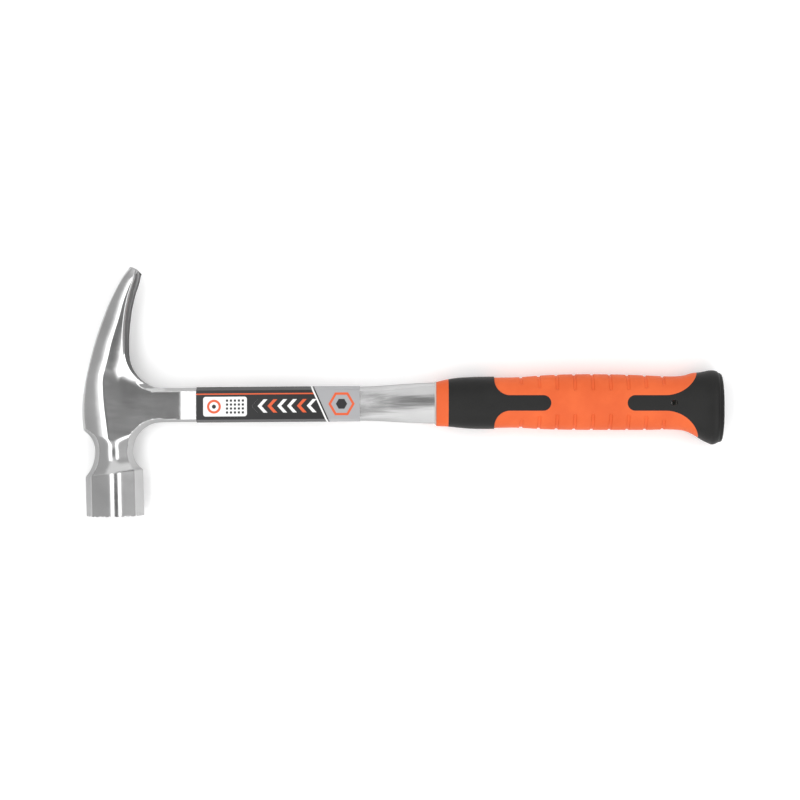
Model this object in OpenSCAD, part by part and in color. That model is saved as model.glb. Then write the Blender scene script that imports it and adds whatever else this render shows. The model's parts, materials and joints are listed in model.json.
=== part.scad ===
// Framing hammer: a one-piece drop-forged steel head, shank and tang with a two-colour rubber grip.
// The hammer lies on its side. X runs from the crown of the head to the butt, Y from the striking
// face to the claw tips, and Z is square to the side of the hammer. The origin is under its middle.
// All sizes are in millimetres.

/* [Overall] */
// Length from the crown of the head to the end of the butt
overall_l = 406.4; // [380:0.1:450]
// Height of the claw tips above the centre line of the shank
claw_rise = 88; // [75:0.5:100]
// Depth of the striking face below the centre line of the shank
face_drop = 70.5; // [66:0.5:80]

/* [Poll] */
// Distance of the poll's centre line from the crown
poll_in = 19.7; // [18:0.1:22]
// Width of the octagonal poll across its corners
poll_w = 36.5; // [33:0.1:40]
// Lean of the poll towards the grip, in degrees
poll_lean = 1.3; // [0:0.1:3]
// Width of the neck between poll and cheeks
neck_w = 24; // [20:0.1:28]
// Depth of the neck's narrowest place below the centre line of the shank
neck_drop = 29.3; // [27:0.1:32]
// Radius of the neck's hollow above the neck, on the crown side
cove_crown_r = 15.5; // [14:0.1:18]
// Radius of the poll's shoulder below the neck, on the crown side
shoulder_crown_r = 22.8; // [20:0.1:26]
// Radius of the poll's shoulder below the neck, on the grip side
shoulder_grip_r = 14.1; // [12:0.1:17]
// Spacing of the milled grooves in the striking face
mill_pitch = 3.2; // [2.6:0.1:4]
// Width of a milled groove at the striking face
mill_w = 1.7; // [1.2:0.1:2]
// Depth of a milled groove
mill_d = 0.8; // [0.4:0.1:1.2]

/* [Cheeks and claw] */
// Thickness of the head across the cheeks
cheek_t = 25; // [22:0.1:28]
// Width of the claw over both tines
claw_w = 26.4; // [23:0.1:30]
// Distance of the claw tips' crown edge from the crown of the head
tip_in = 31.2; // [26:0.1:36]
// Distance from the crown to the underside of the claw at its root
root_in = 27.8; // [25:0.1:31]
// Forward sweep of the claw's underside from its root to its tips
under_sweep = 7.7; // [5:0.1:10]
// Radius of the fillet between claw and shank
claw_fillet_r = 22.8; // [20:0.1:24]
// Rounding along the edges of the claw's underside
tine_round = 1.8; // [1:0.1:3]
// Width of the nail slot at the claw tips
slot_w = 8.4; // [6.5:0.1:10]
// Height of the slot's root above the centre line of the shank, on the underside
slot_root = 29; // [26:0.5:34]
// Angle between the hammer's length and the way the slot opens, in degrees
slot_slant = 43; // [36:1:50]

/* [Shank] */
// Height of the flat shank
shank_h = 21.7; // [19:0.1:24]
// Thickness of the flat shank
shank_t = 11.2; // [9:0.1:13]
// Height of the oval shank where it enters the grip
oval_h = 25.9; // [23:0.1:27]
// Thickness of the oval shank where it enters the grip
oval_t = 16; // [13:0.1:18]
// Rise of the handle's centre line from the head to the grip
handle_rise = 1.9; // [0:0.1:3]
// Distance from the crown to the place where the cheeks have thinned to the shank
flat_in = 62; // [58:0.5:68]

/* [Label] */
// Distance from the crown to the label
label_in = 72.1; // [69:0.1:80]
// Bare length of shank between the label and the grip
label_gap = 48.3; // [40:0.1:60]
// Thickness of the label's film
film_t = 0.35; // [0.2:0.05:0.6]

/* [Tang] */
// Length of the tang inside the grip
tang_l = 134; // [110:1:138]
// Height of the tang at the shank
tang_h = 16; // [13:0.1:18]
// Height of the tang at its end
tang_end_h = 12; // [9:0.1:14]
// Thickness of the tang
tang_t = 6; // [4:0.1:7]
// Diameter of the locking holes through the tang
lock_d = 7; // [5:0.1:8]
// Number of locking holes
lock_n = 3; // [2:1:4]

/* [Grip] */
// Length of the grip from its front end to the end of the butt
grip_l = 182.7; // [170:0.1:200]
// Greatest height of the grip between its ends
grip_h = 35.4; // [32:0.1:38]
// Greatest thickness of the grip between its ends
grip_t = 28.4; // [26:0.1:30]
// Height of the butt at its rim
butt_h = 47.2; // [42:0.1:52]
// Thickness of the rubber over the recesses that hold the black pieces
inlay_t = 2; // [1.2:0.1:2.4]
// Thickness of the whole rubber layer over the hard core
rubber_t = 3.4; // [2.9:0.1:4]
// Length of the orange ring ahead of the black collar
ring_l = 7.7; // [5:0.1:10]
// Length of the black collar without its tongues
collar_l = 28.8; // [24:0.1:32]
// Height that the collar's back edge stands out of the orange rubber
collar_proud = 0.6; // [0:0.1:1]
// Width of the black tongues
tongue_w = 9.8; // [8:0.1:12]
// Radius of the fillets between the collar and its tongues
collar_fillet_r = 9.7; // [8:0.1:11]
// Distance from the grip's front end to the tip of the front tongue
front_tongue_l = 72; // [64:0.5:80]
// Distance from the end of the butt to the tip of the rear tongue
rear_tongue_l = 62.8; // [56:0.1:70]
// Distance from the end of the butt to the start of the butt cover's curve
butt_curve_l = 38.9; // [36:0.1:42]
// Radius of the butt cover's curve beside its tongue
butt_curve_r = 22.3; // [20:0.1:26]
// Distance from the end of the butt to the end of the core and the orange sleeve
core_back_l = 14.4; // [12:0.1:18]

/* [Grip grooves] */
// Number of grooves along each edge of the grip
groove_n = 9; // [5:1:11]
// Distance from the grip's front end to the first groove
groove_first = 53.6; // [50:0.1:60]
// Distance between grooves
groove_pitch = 11.19; // [9:0.01:12]
// Width of a groove
groove_w = 2.1; // [1:0.1:3]
// Depth of a groove
groove_d = 0.7; // [0.3:0.1:1]
// Half height of the plain band between the grooves at the middle of the grip
groove_reach = 7.6; // [6:0.1:9]

/* [Lanyard hole] */
// Diameter of the lanyard hole
lanyard_d = 4; // [3:0.1:6]
// Distance from the end of the butt to the lanyard hole
lanyard_back = 33.3; // [30:0.1:36]

/* [Core] */
// Length of the core's lip ahead of the grip
lip_l = 1; // [0.5:0.1:2]
// Thickness of the core's lip around the shank
lip_t = 0.8; // [0.5:0.1:1.2]

/* [Hidden] */

// Overrun of a cutter past the surface that it cuts
over = 1;
// Clearance between a film or lip and the steel inside it
fit_gap = 0.05;
// Half width of the narrow land that the trimmed flash leaves round the forging
land = 0.4;
// Depth of the tang's root inside the shank
tang_root = 2;

// The octagon: slopes of its steep and shallow facets, and the rounding of its front corner
steep = tan(67.5);
shallow = tan(22.5);
apex_round_share = 0.265;

poll_r = poll_w / 2;
neck_r = neck_w / 2;
cheek_r = cheek_t / 2;
shank_r = shank_h / 2;
half_t = poll_r - apex_round_share * poll_r / 4;

// Fillet centres: the claw's above the shank, the neck's below it
claw_c = [root_in + claw_fillet_r, shank_r + claw_fillet_r];
cove_r = neck_drop - shank_r;
cove_c = [poll_in + neck_r + cove_r, -neck_drop];
joint_in = max(claw_c[0], cove_c[0]) + over;

grip_in = overall_l - grip_l;
label_l = grip_in - label_gap - label_in;
shank_end = grip_in - lip_l;
core_end = overall_l - core_back_l;
collar_in = grip_in + ring_l;
collar_end = collar_in + collar_l;
tongue_v = handle_rise * 0.75;

// Crown line of the cheeks and claw: share of the height from the crown to the tips, share of the reach
crown_low = -4.4;
crown_shares = [
  [0, 0], [0.15, 0.038], [0.32, 0.138], [0.52, 0.298], [0.65, 0.434],
  [0.77, 0.584], [0.86, 0.72], [0.95, 0.88], [1, 1]
];
// Radius of the crown line below its foremost place
crown_toe_r = 85;
// Drop of the tip's underside corner below its crown corner
tip_drop = 4.1;
// Underside of the claw: share of the height from fillet to tips, share of the forward sweep
under_shares = [
  [0, 0], [0.25, 0.02], [0.4, 0.11], [0.52, 0.21], [0.63, 0.36], [0.75, 0.56], [0.87, 0.82], [1, 1]
];
// Width of the crown's arch: height as a share of the claw's rise, width as a share of the cheeks' half thickness
arch_shares = [
  [-0.34, 1.2], [-0.05, 1], [0.22, 0.82], [0.47, 0.8], [0.75, 0.62], [0.93, 0.46], [1, 0.4]
];
// Heights between which the cheeks turn into the claw's sides, as shares of the claw's rise
blend_shares = [0.1, 0.31];
// Fall of the claw's sides from their crest to the underside, as a share of the width there
side_fall_share = 0.07;
// Narrowing of the tines at their tips, as a share of their half width
tip_round_share = 0.22;
// Half thickness of the claw's underside edge, as a share of the claw's half width
under_edge_share = 0.84;

// Grip outline: share of the length from the front end to the butt, top and bottom as shares of half the grip's height
grip_top_shares = [
  [0, 0.86], [0.045, 0.945], [0.1, 0.985], [0.2, 0.99], [0.28, 1], [0.36, 1.06], [0.45, 1.1], [0.56, 1.11],
  [0.67, 1.085], [0.76, 1.05], [0.84, 1.04], [0.867, 1.085], [0.888, 1.15], [0.9, 1.164]
];
grip_bottom_shares = [
  [0, 0.75], [0.045, 0.775], [0.1, 0.82], [0.2, 0.82], [0.28, 0.81], [0.36, 0.855], [0.45, 0.88], [0.56, 0.89],
  [0.67, 0.89], [0.76, 0.88], [0.83, 0.88], [0.87, 0.955], [0.9, 1.113]
];
// Half thickness along the same length, as shares of half the grip's thickness
grip_side_shares = [
  [0, 0.74], [0.045, 0.8], [0.15, 0.9], [0.28, 0.95], [0.42, 1], [0.6, 1], [0.75, 0.97], [0.85, 0.96], [0.9, 0.99]
];
// The flared butt: share of the length, top, bottom and side as shares of the butt's half height and of half_t
butt_shares = [
  [0.9, 0.873, 0.835, 0.825], [0.925, 0.9, 0.958, 0.86], [0.945, 0.933, 1.03, 0.93],
  [0.957, 0.937, 1.06, 0.98], [0.968, 0.922, 1.034, 1], [0.985, 0.843, 0.983, 0.985]
];
// Power of the grip's oval sections
grip_power = 2.4;

// Samples: columns in each half of a head section, points round a grip section, points along an arc
half_cols = 8;
ring_n = 36;
arc_n = 6;

function mix(a, b, t) = a + (b - a) * t;
function clamp01(t) = min(1, max(0, t));
function ease(t) = let (s = clamp01(t)) s * s * (3 - 2 * s);
function soft_min(a, b, k) = min(a, b) - pow(max(k - abs(a - b), 0) / k, 2) * k / 4;

// Smooth curve through a table of pairs, whose slope at each pair comes from the pairs beside it
function knot_slope(t, i) =
  let (a = max(i - 1, 0), b = min(i + 1, len(t) - 1)) (t[b][1] - t[a][1]) / (t[b][0] - t[a][0]);
function knot_before(t, x) = max([0, for (i = [0 : len(t) - 2]) if (t[i][0] <= x) i]);
function smooth(t, x) =
  let (
    i = knot_before(t, x),
    h = t[i + 1][0] - t[i][0],
    s = (min(max(x, t[0][0]), t[len(t) - 1][0]) - t[i][0]) / h
  )
  t[i][1] * (1 + 2 * s) * (1 - s) * (1 - s) + t[i + 1][1] * s * s * (3 - 2 * s)
  + h * s * (1 - s) * (knot_slope(t, i) * (1 - s) - knot_slope(t, i + 1) * s);

// Outlines of the head, as distances from the crown at a height v above the shank's centre line
function crown_at(v) =
  v < crown_low ? pow(crown_low - v, 2) / (2 * crown_toe_r)
  : tip_in * smooth(crown_shares, (v - crown_low) / (claw_rise - crown_low));
function under_at(v) =
  v < claw_c[1] ? claw_c[0] - sqrt(max(0, pow(claw_fillet_r, 2) - pow(claw_c[1] - v, 2)))
  : root_in + under_sweep * smooth(under_shares, (v - claw_c[1]) / (claw_rise - tip_drop - claw_c[1]));
function cove_left(v) = neck_r + cove_crown_r - sqrt(max(0, pow(cove_crown_r, 2) - pow(v + neck_drop, 2)));
function cove_right(v) = neck_r + cove_r - sqrt(max(0, pow(cove_r, 2) - pow(v + neck_drop, 2)));

// Half thickness of an octagonal section at d from its centre line, with radii a and b on its two sides
function octagon_side(d, r) = min(land + steep * d, r * (1 - shallow) + shallow * d);
function octagon_z(d, a, b) =
  soft_min(octagon_side(d + a, a), octagon_side(b - d, b), apex_round_share * min(a, b));

// Half thickness of the cheeks and shank without their edges, falling from the crest to the shank
function thin_at(u, v) =
  let (crest = arch_w(v), flat_z = oval_z(u))
  u < crest ? cheek_r
  : flat_z + (cheek_r - shank_t / 2) * pow(1 - clamp01((u - crest) / (flat_in - crest)), 1.5);
function oval_z(u) = mix(shank_t, oval_t, oval_share(u)) / 2;
function oval_share(u) = ease((u - label_in - label_l * 0.75) / (shank_end - label_in - label_l * 0.75));
function arch_w(v) = cheek_r * smooth(arch_shares, v / claw_rise);

// Half thickness of the claw's sides at a distance d behind the crest
function claw_z(v) =
  let (s = clamp01(1 - (claw_rise - v) / (claw_w / 2)))
  claw_w / 2 * (1 - tip_round_share * s * s);

// Distance of a place inside the forging from the outline on the grip side
function grip_side_gap(u, v) =
  let (
    up = u > claw_c[0] ? shank_r - v : v < claw_c[1] ? norm([u, v] - claw_c) - claw_fillet_r : under_at(v) - u,
    down = u > cove_c[0] ? shank_r + v : norm([u, v] - cove_c) - cove_r
  )
  [max(0, up), max(0, down)];

// Half thickness of the cheeks, claw and upper neck at a place in the outline
function head_z(u, v) =
  let (
    k = ease((v / claw_rise - blend_shares[0]) / (blend_shares[1] - blend_shares[0])),
    w = mix(cheek_r, claw_z(v), k),
    b = arch_w(v),
    d = max(0, u - crown_at(v)),
    crest = crown_at(v) + b,
    side = mix(thin_at(u, v), w * (1 - side_fall_share * clamp01((u - crest) / b)), k),
    arch = d < b ? land + (w - land) * sqrt(1 - pow(1 - d / b, 2)) : w,
    body = u < crest ? arch : min(arch, side),
    gap = grip_side_gap(u, v),
    edge = mix(land, w * under_edge_share, k),
    t = clamp01(gap[0] / mix((body - land) / steep, tine_round, k)),
    top = edge + (body - edge) * mix(t, sqrt(1 - pow(1 - t, 2)), k),
    low = land + steep * gap[1],
    left = v > cove_crown_r - neck_drop - land ? body
      : octagon_side(u - poll_in + cove_left(v), cove_left(v)),
    right = v > -shank_r - land ? body : cove_right(v) * (1 - shallow) + shallow * gap[1],
    round_k = apex_round_share * neck_r,
    trumpet = v > -shank_r - land ? left : soft_min(left, min(right, low), round_k)
  )
  max(land, min(body, top, low, trumpet));

// Share of the way across a half section for each column, closer together towards the outline
function col_share(j) = 1 - cos(90 * j / half_cols);

// One row of the head's surface: places across a section from the crown side, as [u, v, z]
function row_uv(p, q, mid) = [
  for (j = [0 : 2 * half_cols])
    let (
      t = j <= half_cols ? mid * col_share(j) : 1 - (1 - mid) * col_share(2 * half_cols - j),
      u = mix(p[0], q[0], t),
      v = mix(p[1], q[1], t)
    ) [u, v, head_z(u, v)]
];

// Rows between the poll and the neck, at a distance q below the neck
shoulder_l = sqrt(pow(shoulder_crown_r, 2) - pow(shoulder_crown_r - poll_r + neck_r, 2));
function left_r(q) = min(poll_r, neck_r + shoulder_crown_r - sqrt(pow(shoulder_crown_r, 2) - pow(q, 2)));
function right_r(q) =
  q >= sqrt(pow(shoulder_grip_r, 2) - pow(shoulder_grip_r - poll_r + neck_r, 2)) ? poll_r
  : neck_r + shoulder_grip_r - sqrt(pow(shoulder_grip_r, 2) - pow(q, 2));
function poll_axis(q) = [poll_in + tan(poll_lean) * q * q / shoulder_l / 2, -neck_drop - q];
function poll_row(q) =
  let (c = poll_axis(q), a = left_r(q), b = right_r(q), turn = poll_lean * q / shoulder_l)
  [
    for (j = [0 : 2 * half_cols])
      let (d = j <= half_cols ? -a * (1 - col_share(j)) : b * (1 - col_share(2 * half_cols - j)))
      [c[0] + d * cos(turn), c[1] + d * sin(turn), octagon_z(d, a, b)]
  ];

// Row round the striking face
poll_turn = [sin(poll_lean), -cos(poll_lean), 0];
poll_l = (face_drop + poll_axis(shoulder_l)[1] - poll_r * sin(poll_lean)) / cos(poll_lean);
face_row = [for (p = poll_row(shoulder_l)) p + poll_l * poll_turn];

// Rows of the whole head from the striking face to the claw tips
shoulder_steps = 8;
cove_steps = 12;
shank_steps = 10;
fillet_steps = 12;
claw_steps = 16;
function neck_mid(v) =
  let (c = max(crown_at(v), poll_in - cove_left(v)))
  mix(0.5, arch_w(v) / (joint_in - c), ease((v + neck_drop) / cove_r));
function cove_row(a) =
  let (
    v = -neck_drop + cove_r * sin(a),
    left = v > cove_crown_r - neck_drop - land ? crown_at(v) : max(crown_at(v), poll_in - cove_left(v)),
    right = poll_in + cove_right(v),
    mid = mix(0.5, arch_w(v) / (right - left), ease(a / 60))
  )
  row_uv([left, v], [right, v], mid);
function shank_row(v) = row_uv([crown_at(v), v], [joint_in, v], arch_w(v) / (joint_in - crown_at(v)));
function fillet_row(a) =
  let (v = shank_r + claw_fillet_r * (1 - cos(a)), right = under_at(v))
  row_uv([crown_at(v), v], [right, v], arch_w(v) / (right - crown_at(v)));
function claw_row(s) =
  let (
    p = mix(claw_c[1], claw_rise, s),
    q = mix(claw_c[1], claw_rise - tip_drop, s),
    a = [crown_at(p), p],
    b = [under_at(q), q]
  )
  row_uv(a, b, arch_w(p) / norm(b - a));

head_rows = [
  face_row,
  for (i = [shoulder_steps : -1 : 1]) poll_row(shoulder_l * i / shoulder_steps),
  for (i = [0 : cove_steps - 1]) cove_row(90 * i / cove_steps),
  for (i = [0 : shank_steps]) shank_row(shank_r * shank_place(i)),
  for (i = [1 : fillet_steps]) fillet_row(90 * i / fillet_steps),
  for (i = [1 : claw_steps]) claw_row(i / claw_steps)
];
first_joint = 1 + shoulder_steps + cove_steps;
last_joint = first_joint + shank_steps;

// Places across the shank, from -1 at its lower edge to 1 at its upper edge
function shank_place(i) = sin(90 * (2 * i / shank_steps - 1));

// Sections of the shank behind the head
function handle_v(u) = handle_rise * clamp01((u - joint_in) / (0.75 * overall_l - joint_in));
function shank_half(u) = mix(shank_h, oval_h, ease((u - label_in - label_l) / (shank_end - label_in - label_l))) / 2;
function shank_z(u, place, grow) =
  let (
    h = shank_half(u),
    flat_z = thin_at(u, 0),
    bar = min(flat_z, land + steep * h * (1 - abs(place))),
    oval = land + (flat_z - land) * sqrt(1 - place * place)
  )
  mix(bar, oval, oval_share(u)) + grow;
function shank_section(u, grow) = [
  for (i = [0 : shank_steps])
    [u, handle_v(u) + (shank_half(u) + grow) * shank_place(i), shank_z(u, shank_place(i), grow)]
];
shank_stations = [
  for (i = [1 : 4]) mix(joint_in, label_in, i / 4),
  for (i = [1 : 4]) label_in + label_l * i / 4,
  for (i = [1 : 6]) mix(label_in + label_l, shank_end, i / 6)
];
label_stations = [for (i = [0 : 4]) label_in + label_l * i / 4];
lip_stations = [grip_in - lip_l, grip_in];

// Closed loop of a row: its front face and, in reverse, the same places on the back face
function loop(row) = [
  each row,
  for (j = [len(row) - 1 : -1 : 0]) [row[j][0], row[j][1], -row[j][2]]
];

// Two triangles for the four-sided patch a, b, c, d
function patch(a, b, c, d) = [[a, b, c], [a, c, d]];

// Sides of a tube of rings with m points each, from ring number a to ring number b
function tube_faces(a, b, m) = [
  for (k = [a : b - 1]) for (i = [0 : m - 1])
    each patch(k * m + i, k * m + (i + 1) % m, (k + 1) * m + (i + 1) % m, (k + 1) * m + i)
];
// Fan that closes a ring, on one side or the other
function ring_cap(k, m, flip) = [
  for (j = [0 : m / 2 - 2])
    each (flip ? patch(k * m + j, k * m + m - 1 - j, k * m + m - 2 - j, k * m + j + 1)
      : patch(k * m + j, k * m + j + 1, k * m + m - 2 - j, k * m + m - 1 - j))
];

// Strips that close a ring whose points run round it from its lower edge
function disc_faces(k, m, flip) = [
  for (i = [0 : m / 2 - 1])
    each strip(k * m + i, k * m + i + 1, k * m + m - i - 1, k * m + (m - i) % m, flip, i == 0, i == m / 2 - 1)
];
function strip(a, b, c, d, flip, first, last) =
  let (t = first ? [[a, b, c]] : last ? [[a, b, d]] : [[a, b, c], [a, c, d]])
  flip ? t : [for (f = t) [f[2], f[1], f[0]]];

// Moves what is drawn from the crown and the shank's centre line into the hammer's own frame
module placed() {
  translate([-overall_l / 2, -(claw_rise - face_drop) / 2, half_t]) children();
}

// Steel head and shank as one closed surface
module head_surface() {
  m = 4 * half_cols + 2;
  n = len(head_rows);
  c = shank_steps + 1;
  stations = len(shank_stations);
  right = 2 * half_cols;
  base = n * m;
  points = [
    for (row = head_rows) each loop(row),
    for (u = shank_stations) each loop(shank_section(u, 0))
  ];
  // Number of the point at station s of the shank: front side i from 0 to c - 1, then the back side
  function bar(s, i) =
    s > 0 ? base + (s - 1) * 2 * c + i
    : i < c ? (first_joint + i) * m + right : (first_joint + 2 * c - 1 - i) * m + right + 1;
  faces = [
    for (k = [0 : n - 2]) for (i = [0 : m - 1])
      if (i != right || k < first_joint || k >= last_joint)
        each patch(k * m + i, (k + 1) * m + i, (k + 1) * m + (i + 1) % m, k * m + (i + 1) % m),
    each ring_cap(0, m, false),
    each ring_cap(n - 1, m, true),
    for (s = [0 : stations - 1]) for (i = [0 : 2 * c - 1])
      each patch(bar(s, i), bar(s, (i + 1) % (2 * c)), bar(s + 1, (i + 1) % (2 * c)), bar(s + 1, i)),
    for (j = [0 : c - 2])
      each patch(bar(stations, j), bar(stations, j + 1), bar(stations, 2 * c - 2 - j), bar(stations, 2 * c - 1 - j))
  ];
  polyhedron(points, faces, convexity = 10);
}

// Crossed grooves that mill the striking face
module milling() {
  c = poll_axis(shoulder_l);
  reach = floor(poll_r / mill_pitch - 0.5) - 0.5;
  translate([c[0], c[1], 0]) rotate(poll_lean) rotate([90, 0, 0]) translate([0, 0, poll_l])
    for (turn = [0, 90], i = [-reach : reach])
      rotate(turn) translate([i * mill_pitch, 0, 0]) rotate([90, 0, 0])
        linear_extrude(poll_w + 2 * over, center = true)
          polygon([[0, -mill_d], [mill_w / 2, 0], [mill_w / 2, over], [-mill_w / 2, over], [-mill_w / 2, 0]]);
}

// Wedge that opens the nail slot, from its root across the claw to the tips
module slot_cut() {
  spread = (claw_rise - slot_root) * sin(slot_slant);
  translate([under_at(slot_root), slot_root, 0]) rotate(slot_slant)
    translate([0, 2 * root_in, 0]) rotate([90, 0, 0]) linear_extrude(2 * root_in + 4 * over)
      polygon([[0, 0], [2 * spread, slot_w], [2 * spread, -slot_w]]);
}

// Flat bar that the grip is moulded on, with its locking holes
module tang() {
  length = tang_l + tang_root;
  difference() {
    translate([shank_end - tang_root, handle_v(shank_end), 0])
      linear_extrude(tang_t, center = true)
        union() {
          polygon([
            [0, -tang_h / 2], [length - tang_end_h / 2, -tang_end_h / 2],
            [length - tang_end_h / 2, tang_end_h / 2], [0, tang_h / 2]
          ]);
          translate([length - tang_end_h / 2, 0]) circle(d = tang_end_h, $fn = 48);
        }
    for (i = [1 : lock_n])
      translate([shank_end + tang_l * i / (lock_n + 1), handle_v(shank_end), 0])
        cylinder(d = lock_d, h = tang_t + 2 * over, center = true, $fn = 48);
  }
}

module forged_head_and_shank() {
  color("silver") placed() union() {
    difference() {
      head_surface();
      slot_cut();
      milling();
    }
    tang();
  }
}

// Solid that follows the shank, larger than it by grow
module shank_bar(stations, grow) {
  m = 2 * (shank_steps + 1);
  n = len(stations);
  points = [for (u = stations) each loop(shank_section(u, grow))];
  faces = [
    each tube_faces(0, n - 1, m),
    each ring_cap(0, m, true),
    each ring_cap(n - 1, m, false)
  ];
  polyhedron(points, faces, convexity = 4);
}

// Tube round the shank between two distances from its surface
module shank_tube(stations, inner, outer) {
  m = 2 * (shank_steps + 1);
  n = len(stations);
  points = [
    for (u = stations) each loop(shank_section(u, outer)),
    for (u = stations) each loop(shank_section(u, inner))
  ];
  faces = [
    each tube_faces(0, n - 1, m),
    for (f = tube_faces(n, 2 * n - 1, m)) [f[2], f[1], f[0]],
    for (i = [0 : m - 1]) each patch(i, n * m + i, n * m + (i + 1) % m, (i + 1) % m),
    for (i = [0 : m - 1])
      each patch((n - 1) * m + i, (n - 1) * m + (i + 1) % m, (2 * n - 1) * m + (i + 1) % m, (2 * n - 1) * m + i)
  ];
  polyhedron(points, faces, convexity = 6);
}

module label_sleeve() {
  color("dimgray") placed() shank_tube(label_stations, fit_gap, fit_gap + film_t);
}

// Half sizes of the grip at a distance u from the crown: top, bottom and side
function grip_sizes(u) =
  let (s = (u - grip_in) / (overall_l - grip_in), lo = butt_shares[0][0])
  s <= lo ? [
    grip_h / 2 * smooth(grip_top_shares, s), grip_h / 2 * smooth(grip_bottom_shares, s),
    grip_t / 2 * smooth(grip_side_shares, s)
  ] : [
    butt_h / 2 * smooth([for (r = butt_shares) [r[0], r[1]]], s),
    butt_h / 2 * smooth([for (r = butt_shares) [r[0], r[2]]], s),
    half_t * smooth([for (r = butt_shares) [r[0], r[3]]], s)
  ];

// Depth of the grooves at a place on the grip
function groove_at(u, v) =
  let (
    i = round((u - grip_in - groove_first) / groove_pitch),
    off = abs(u - grip_in - groove_first - i * groove_pitch),
    middle = (groove_n - 1) / 2,
    reach = groove_reach * (1 + 0.45 * pow((i - middle) / middle, 4))
  )
  i < 0 || i >= groove_n || off > groove_w / 2 + land / 2 ? 0
  : groove_d * clamp01((abs(v) - reach) / groove_w) * clamp01((groove_w / 2 + land / 2 - off) / land);

// One section of the grip, drawn in by inset, with or without its grooves
function grip_ring(u, inset, grooved, shrink = 1) =
  let (
    g = grip_sizes(u),
    c = (g[0] - g[1]) / 2,
    a = (g[0] + g[1]) / 2
  )
  [
    for (i = [0 : ring_n - 1])
      let (
        t = 360 * i / ring_n,
        y = -pow(abs(cos(t)), 2 / grip_power) * sign(cos(t)),
        z = pow(abs(sin(t)), 2 / grip_power) * sign(sin(t)),
        in = inset + (grooved ? groove_at(u, a * y + c - handle_rise) : 0)
      )
      [u, c + (a - in) * y * shrink, (g[2] - in) * z * shrink]
  ];

plain_shares = [0, 0.03, 0.07, 0.12, 0.175, 0.24, 0.31, 0.38, 0.46, 0.56, 0.66, 0.75, 0.82, 0.86, 0.895];
function body_stations() = [
  for (s = plain_shares) let (u = mix(grip_in, overall_l, s)) if (u < core_end - over) u,
  core_end
];
function groove_edges() = [
  for (i = [0 : groove_n - 1], side = [-1, 1], edge = [-side, side])
    grip_in + groove_first + i * groove_pitch + (side * groove_w + edge * land) / 2
];

// Ascending list of the numbers in two ascending lists, without places that nearly coincide
function merged(a, b, i = 0, j = 0) =
  i >= len(a) ? [for (k = [j : 1 : len(b) - 1]) b[k]]
  : j >= len(b) ? [for (k = [i : 1 : len(a) - 1]) a[k]]
  : a[i] < b[j] ? concat([a[i]], merged(a, b, i + 1, j)) : concat([b[j]], merged(a, b, i, j + 1));

// Closed solid through a list of rings
module ring_solid(rings) {
  m = ring_n;
  n = len(rings);
  points = [for (r = rings) each r];
  faces = [
    each tube_faces(0, n - 1, m),
    each disc_faces(0, m, false),
    each disc_faces(n - 1, m, true)
  ];
  polyhedron(points, faces, convexity = 10);
}

// The grip's body between its front end and the core's end, drawn in by inset, and made longer at its ends
module grip_body(inset, front = 0, back = 0) {
  stations = [
    if (front > 0) grip_in - front,
    each body_stations(),
    if (back > 0) core_end + back
  ];
  ring_solid([for (u = stations) grip_ring(u, inset, false)]);
}

// Closed tube with the grip's grooved surface outside and the core's surface inside
module grooved_tube() {
  m = ring_n;
  outer = [for (u = merged(body_stations(), groove_edges())) grip_ring(u, 0, true)];
  inner = [for (u = body_stations()) grip_ring(u, rubber_t, false)];
  a = len(outer);
  b = len(inner);
  points = [for (r = outer) each r, for (r = inner) each r];
  faces = [
    each tube_faces(0, a - 1, m),
    for (f = tube_faces(a, a + b - 1, m)) [f[2], f[1], f[0]],
    for (i = [0 : m - 1]) each patch(i, a * m + i, a * m + (i + 1) % m, (i + 1) % m),
    for (i = [0 : m - 1])
      each patch(
        (a - 1) * m + i, (a - 1) * m + (i + 1) % m, (a + b - 1) * m + (i + 1) % m, (a + b - 1) * m + i
      )
  ];
  polyhedron(points, faces, convexity = 10);
}

// Arc of points about c from angle a to angle b, without its last point
function arc(c, r, a, b) = [
  for (i = [0 : arc_n - 1]) let (t = mix(a, b, i / arc_n)) [c[0] + r * cos(t), c[1] + r * sin(t)]
];
// Outline from its upper half, mirrored about the tongue's middle
module mirrored_plan(upper) {
  translate([0, tongue_v])
    polygon([each upper, for (i = [len(upper) - 1 : -1 : 0]) [upper[i][0], -upper[i][1]]]);
}

// Plan of the front collar and its tongues
module collar_plan() {
  edge = tongue_w / 2;
  tip = grip_in + front_tongue_l;
  mirrored_plan([
    [collar_in, butt_h],
    [collar_end, butt_h],
    each arc([collar_end + collar_fillet_r, edge + collar_fillet_r], collar_fillet_r, 180, 270),
    [collar_end + collar_fillet_r, edge],
    each arc([tip - edge, 0], edge, 90, 0)
  ]);
}

// Plan of the butt cover and its tongues
module butt_plan() {
  edge = tongue_w / 2;
  tip = overall_l - rear_tongue_l;
  start = overall_l - butt_curve_l;
  turn = start + butt_curve_r;
  mirrored_plan([
    [overall_l + over, butt_h],
    [turn, butt_h],
    each arc([start, edge + butt_curve_r], butt_curve_r, 360, 270),
    [start, edge],
    each arc([tip + edge, 0], edge, 90, 180)
  ]);
}

// Through hole for a lanyard
module lanyard_cut() {
  translate([overall_l - lanyard_back, tongue_v, 0])
    cylinder(d = lanyard_d, h = 4 * half_t, center = true, $fn = 48);
}

module plan_solid() {
  linear_extrude(4 * half_t, center = true) children();
}

module grip_core() {
  color("gainsboro") placed() {
    difference() {
      union() {
        grip_body(rubber_t, front = lip_l / 2);
        shank_bar(lip_stations, lip_t);
      }
      tang();
      lanyard_cut();
    }
  }
}

// Recess for a black piece, down to the depth of the inlay
module recess() {
  difference() {
    plan_solid() children();
    grip_body(inlay_t, back = over);
  }
}

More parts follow.
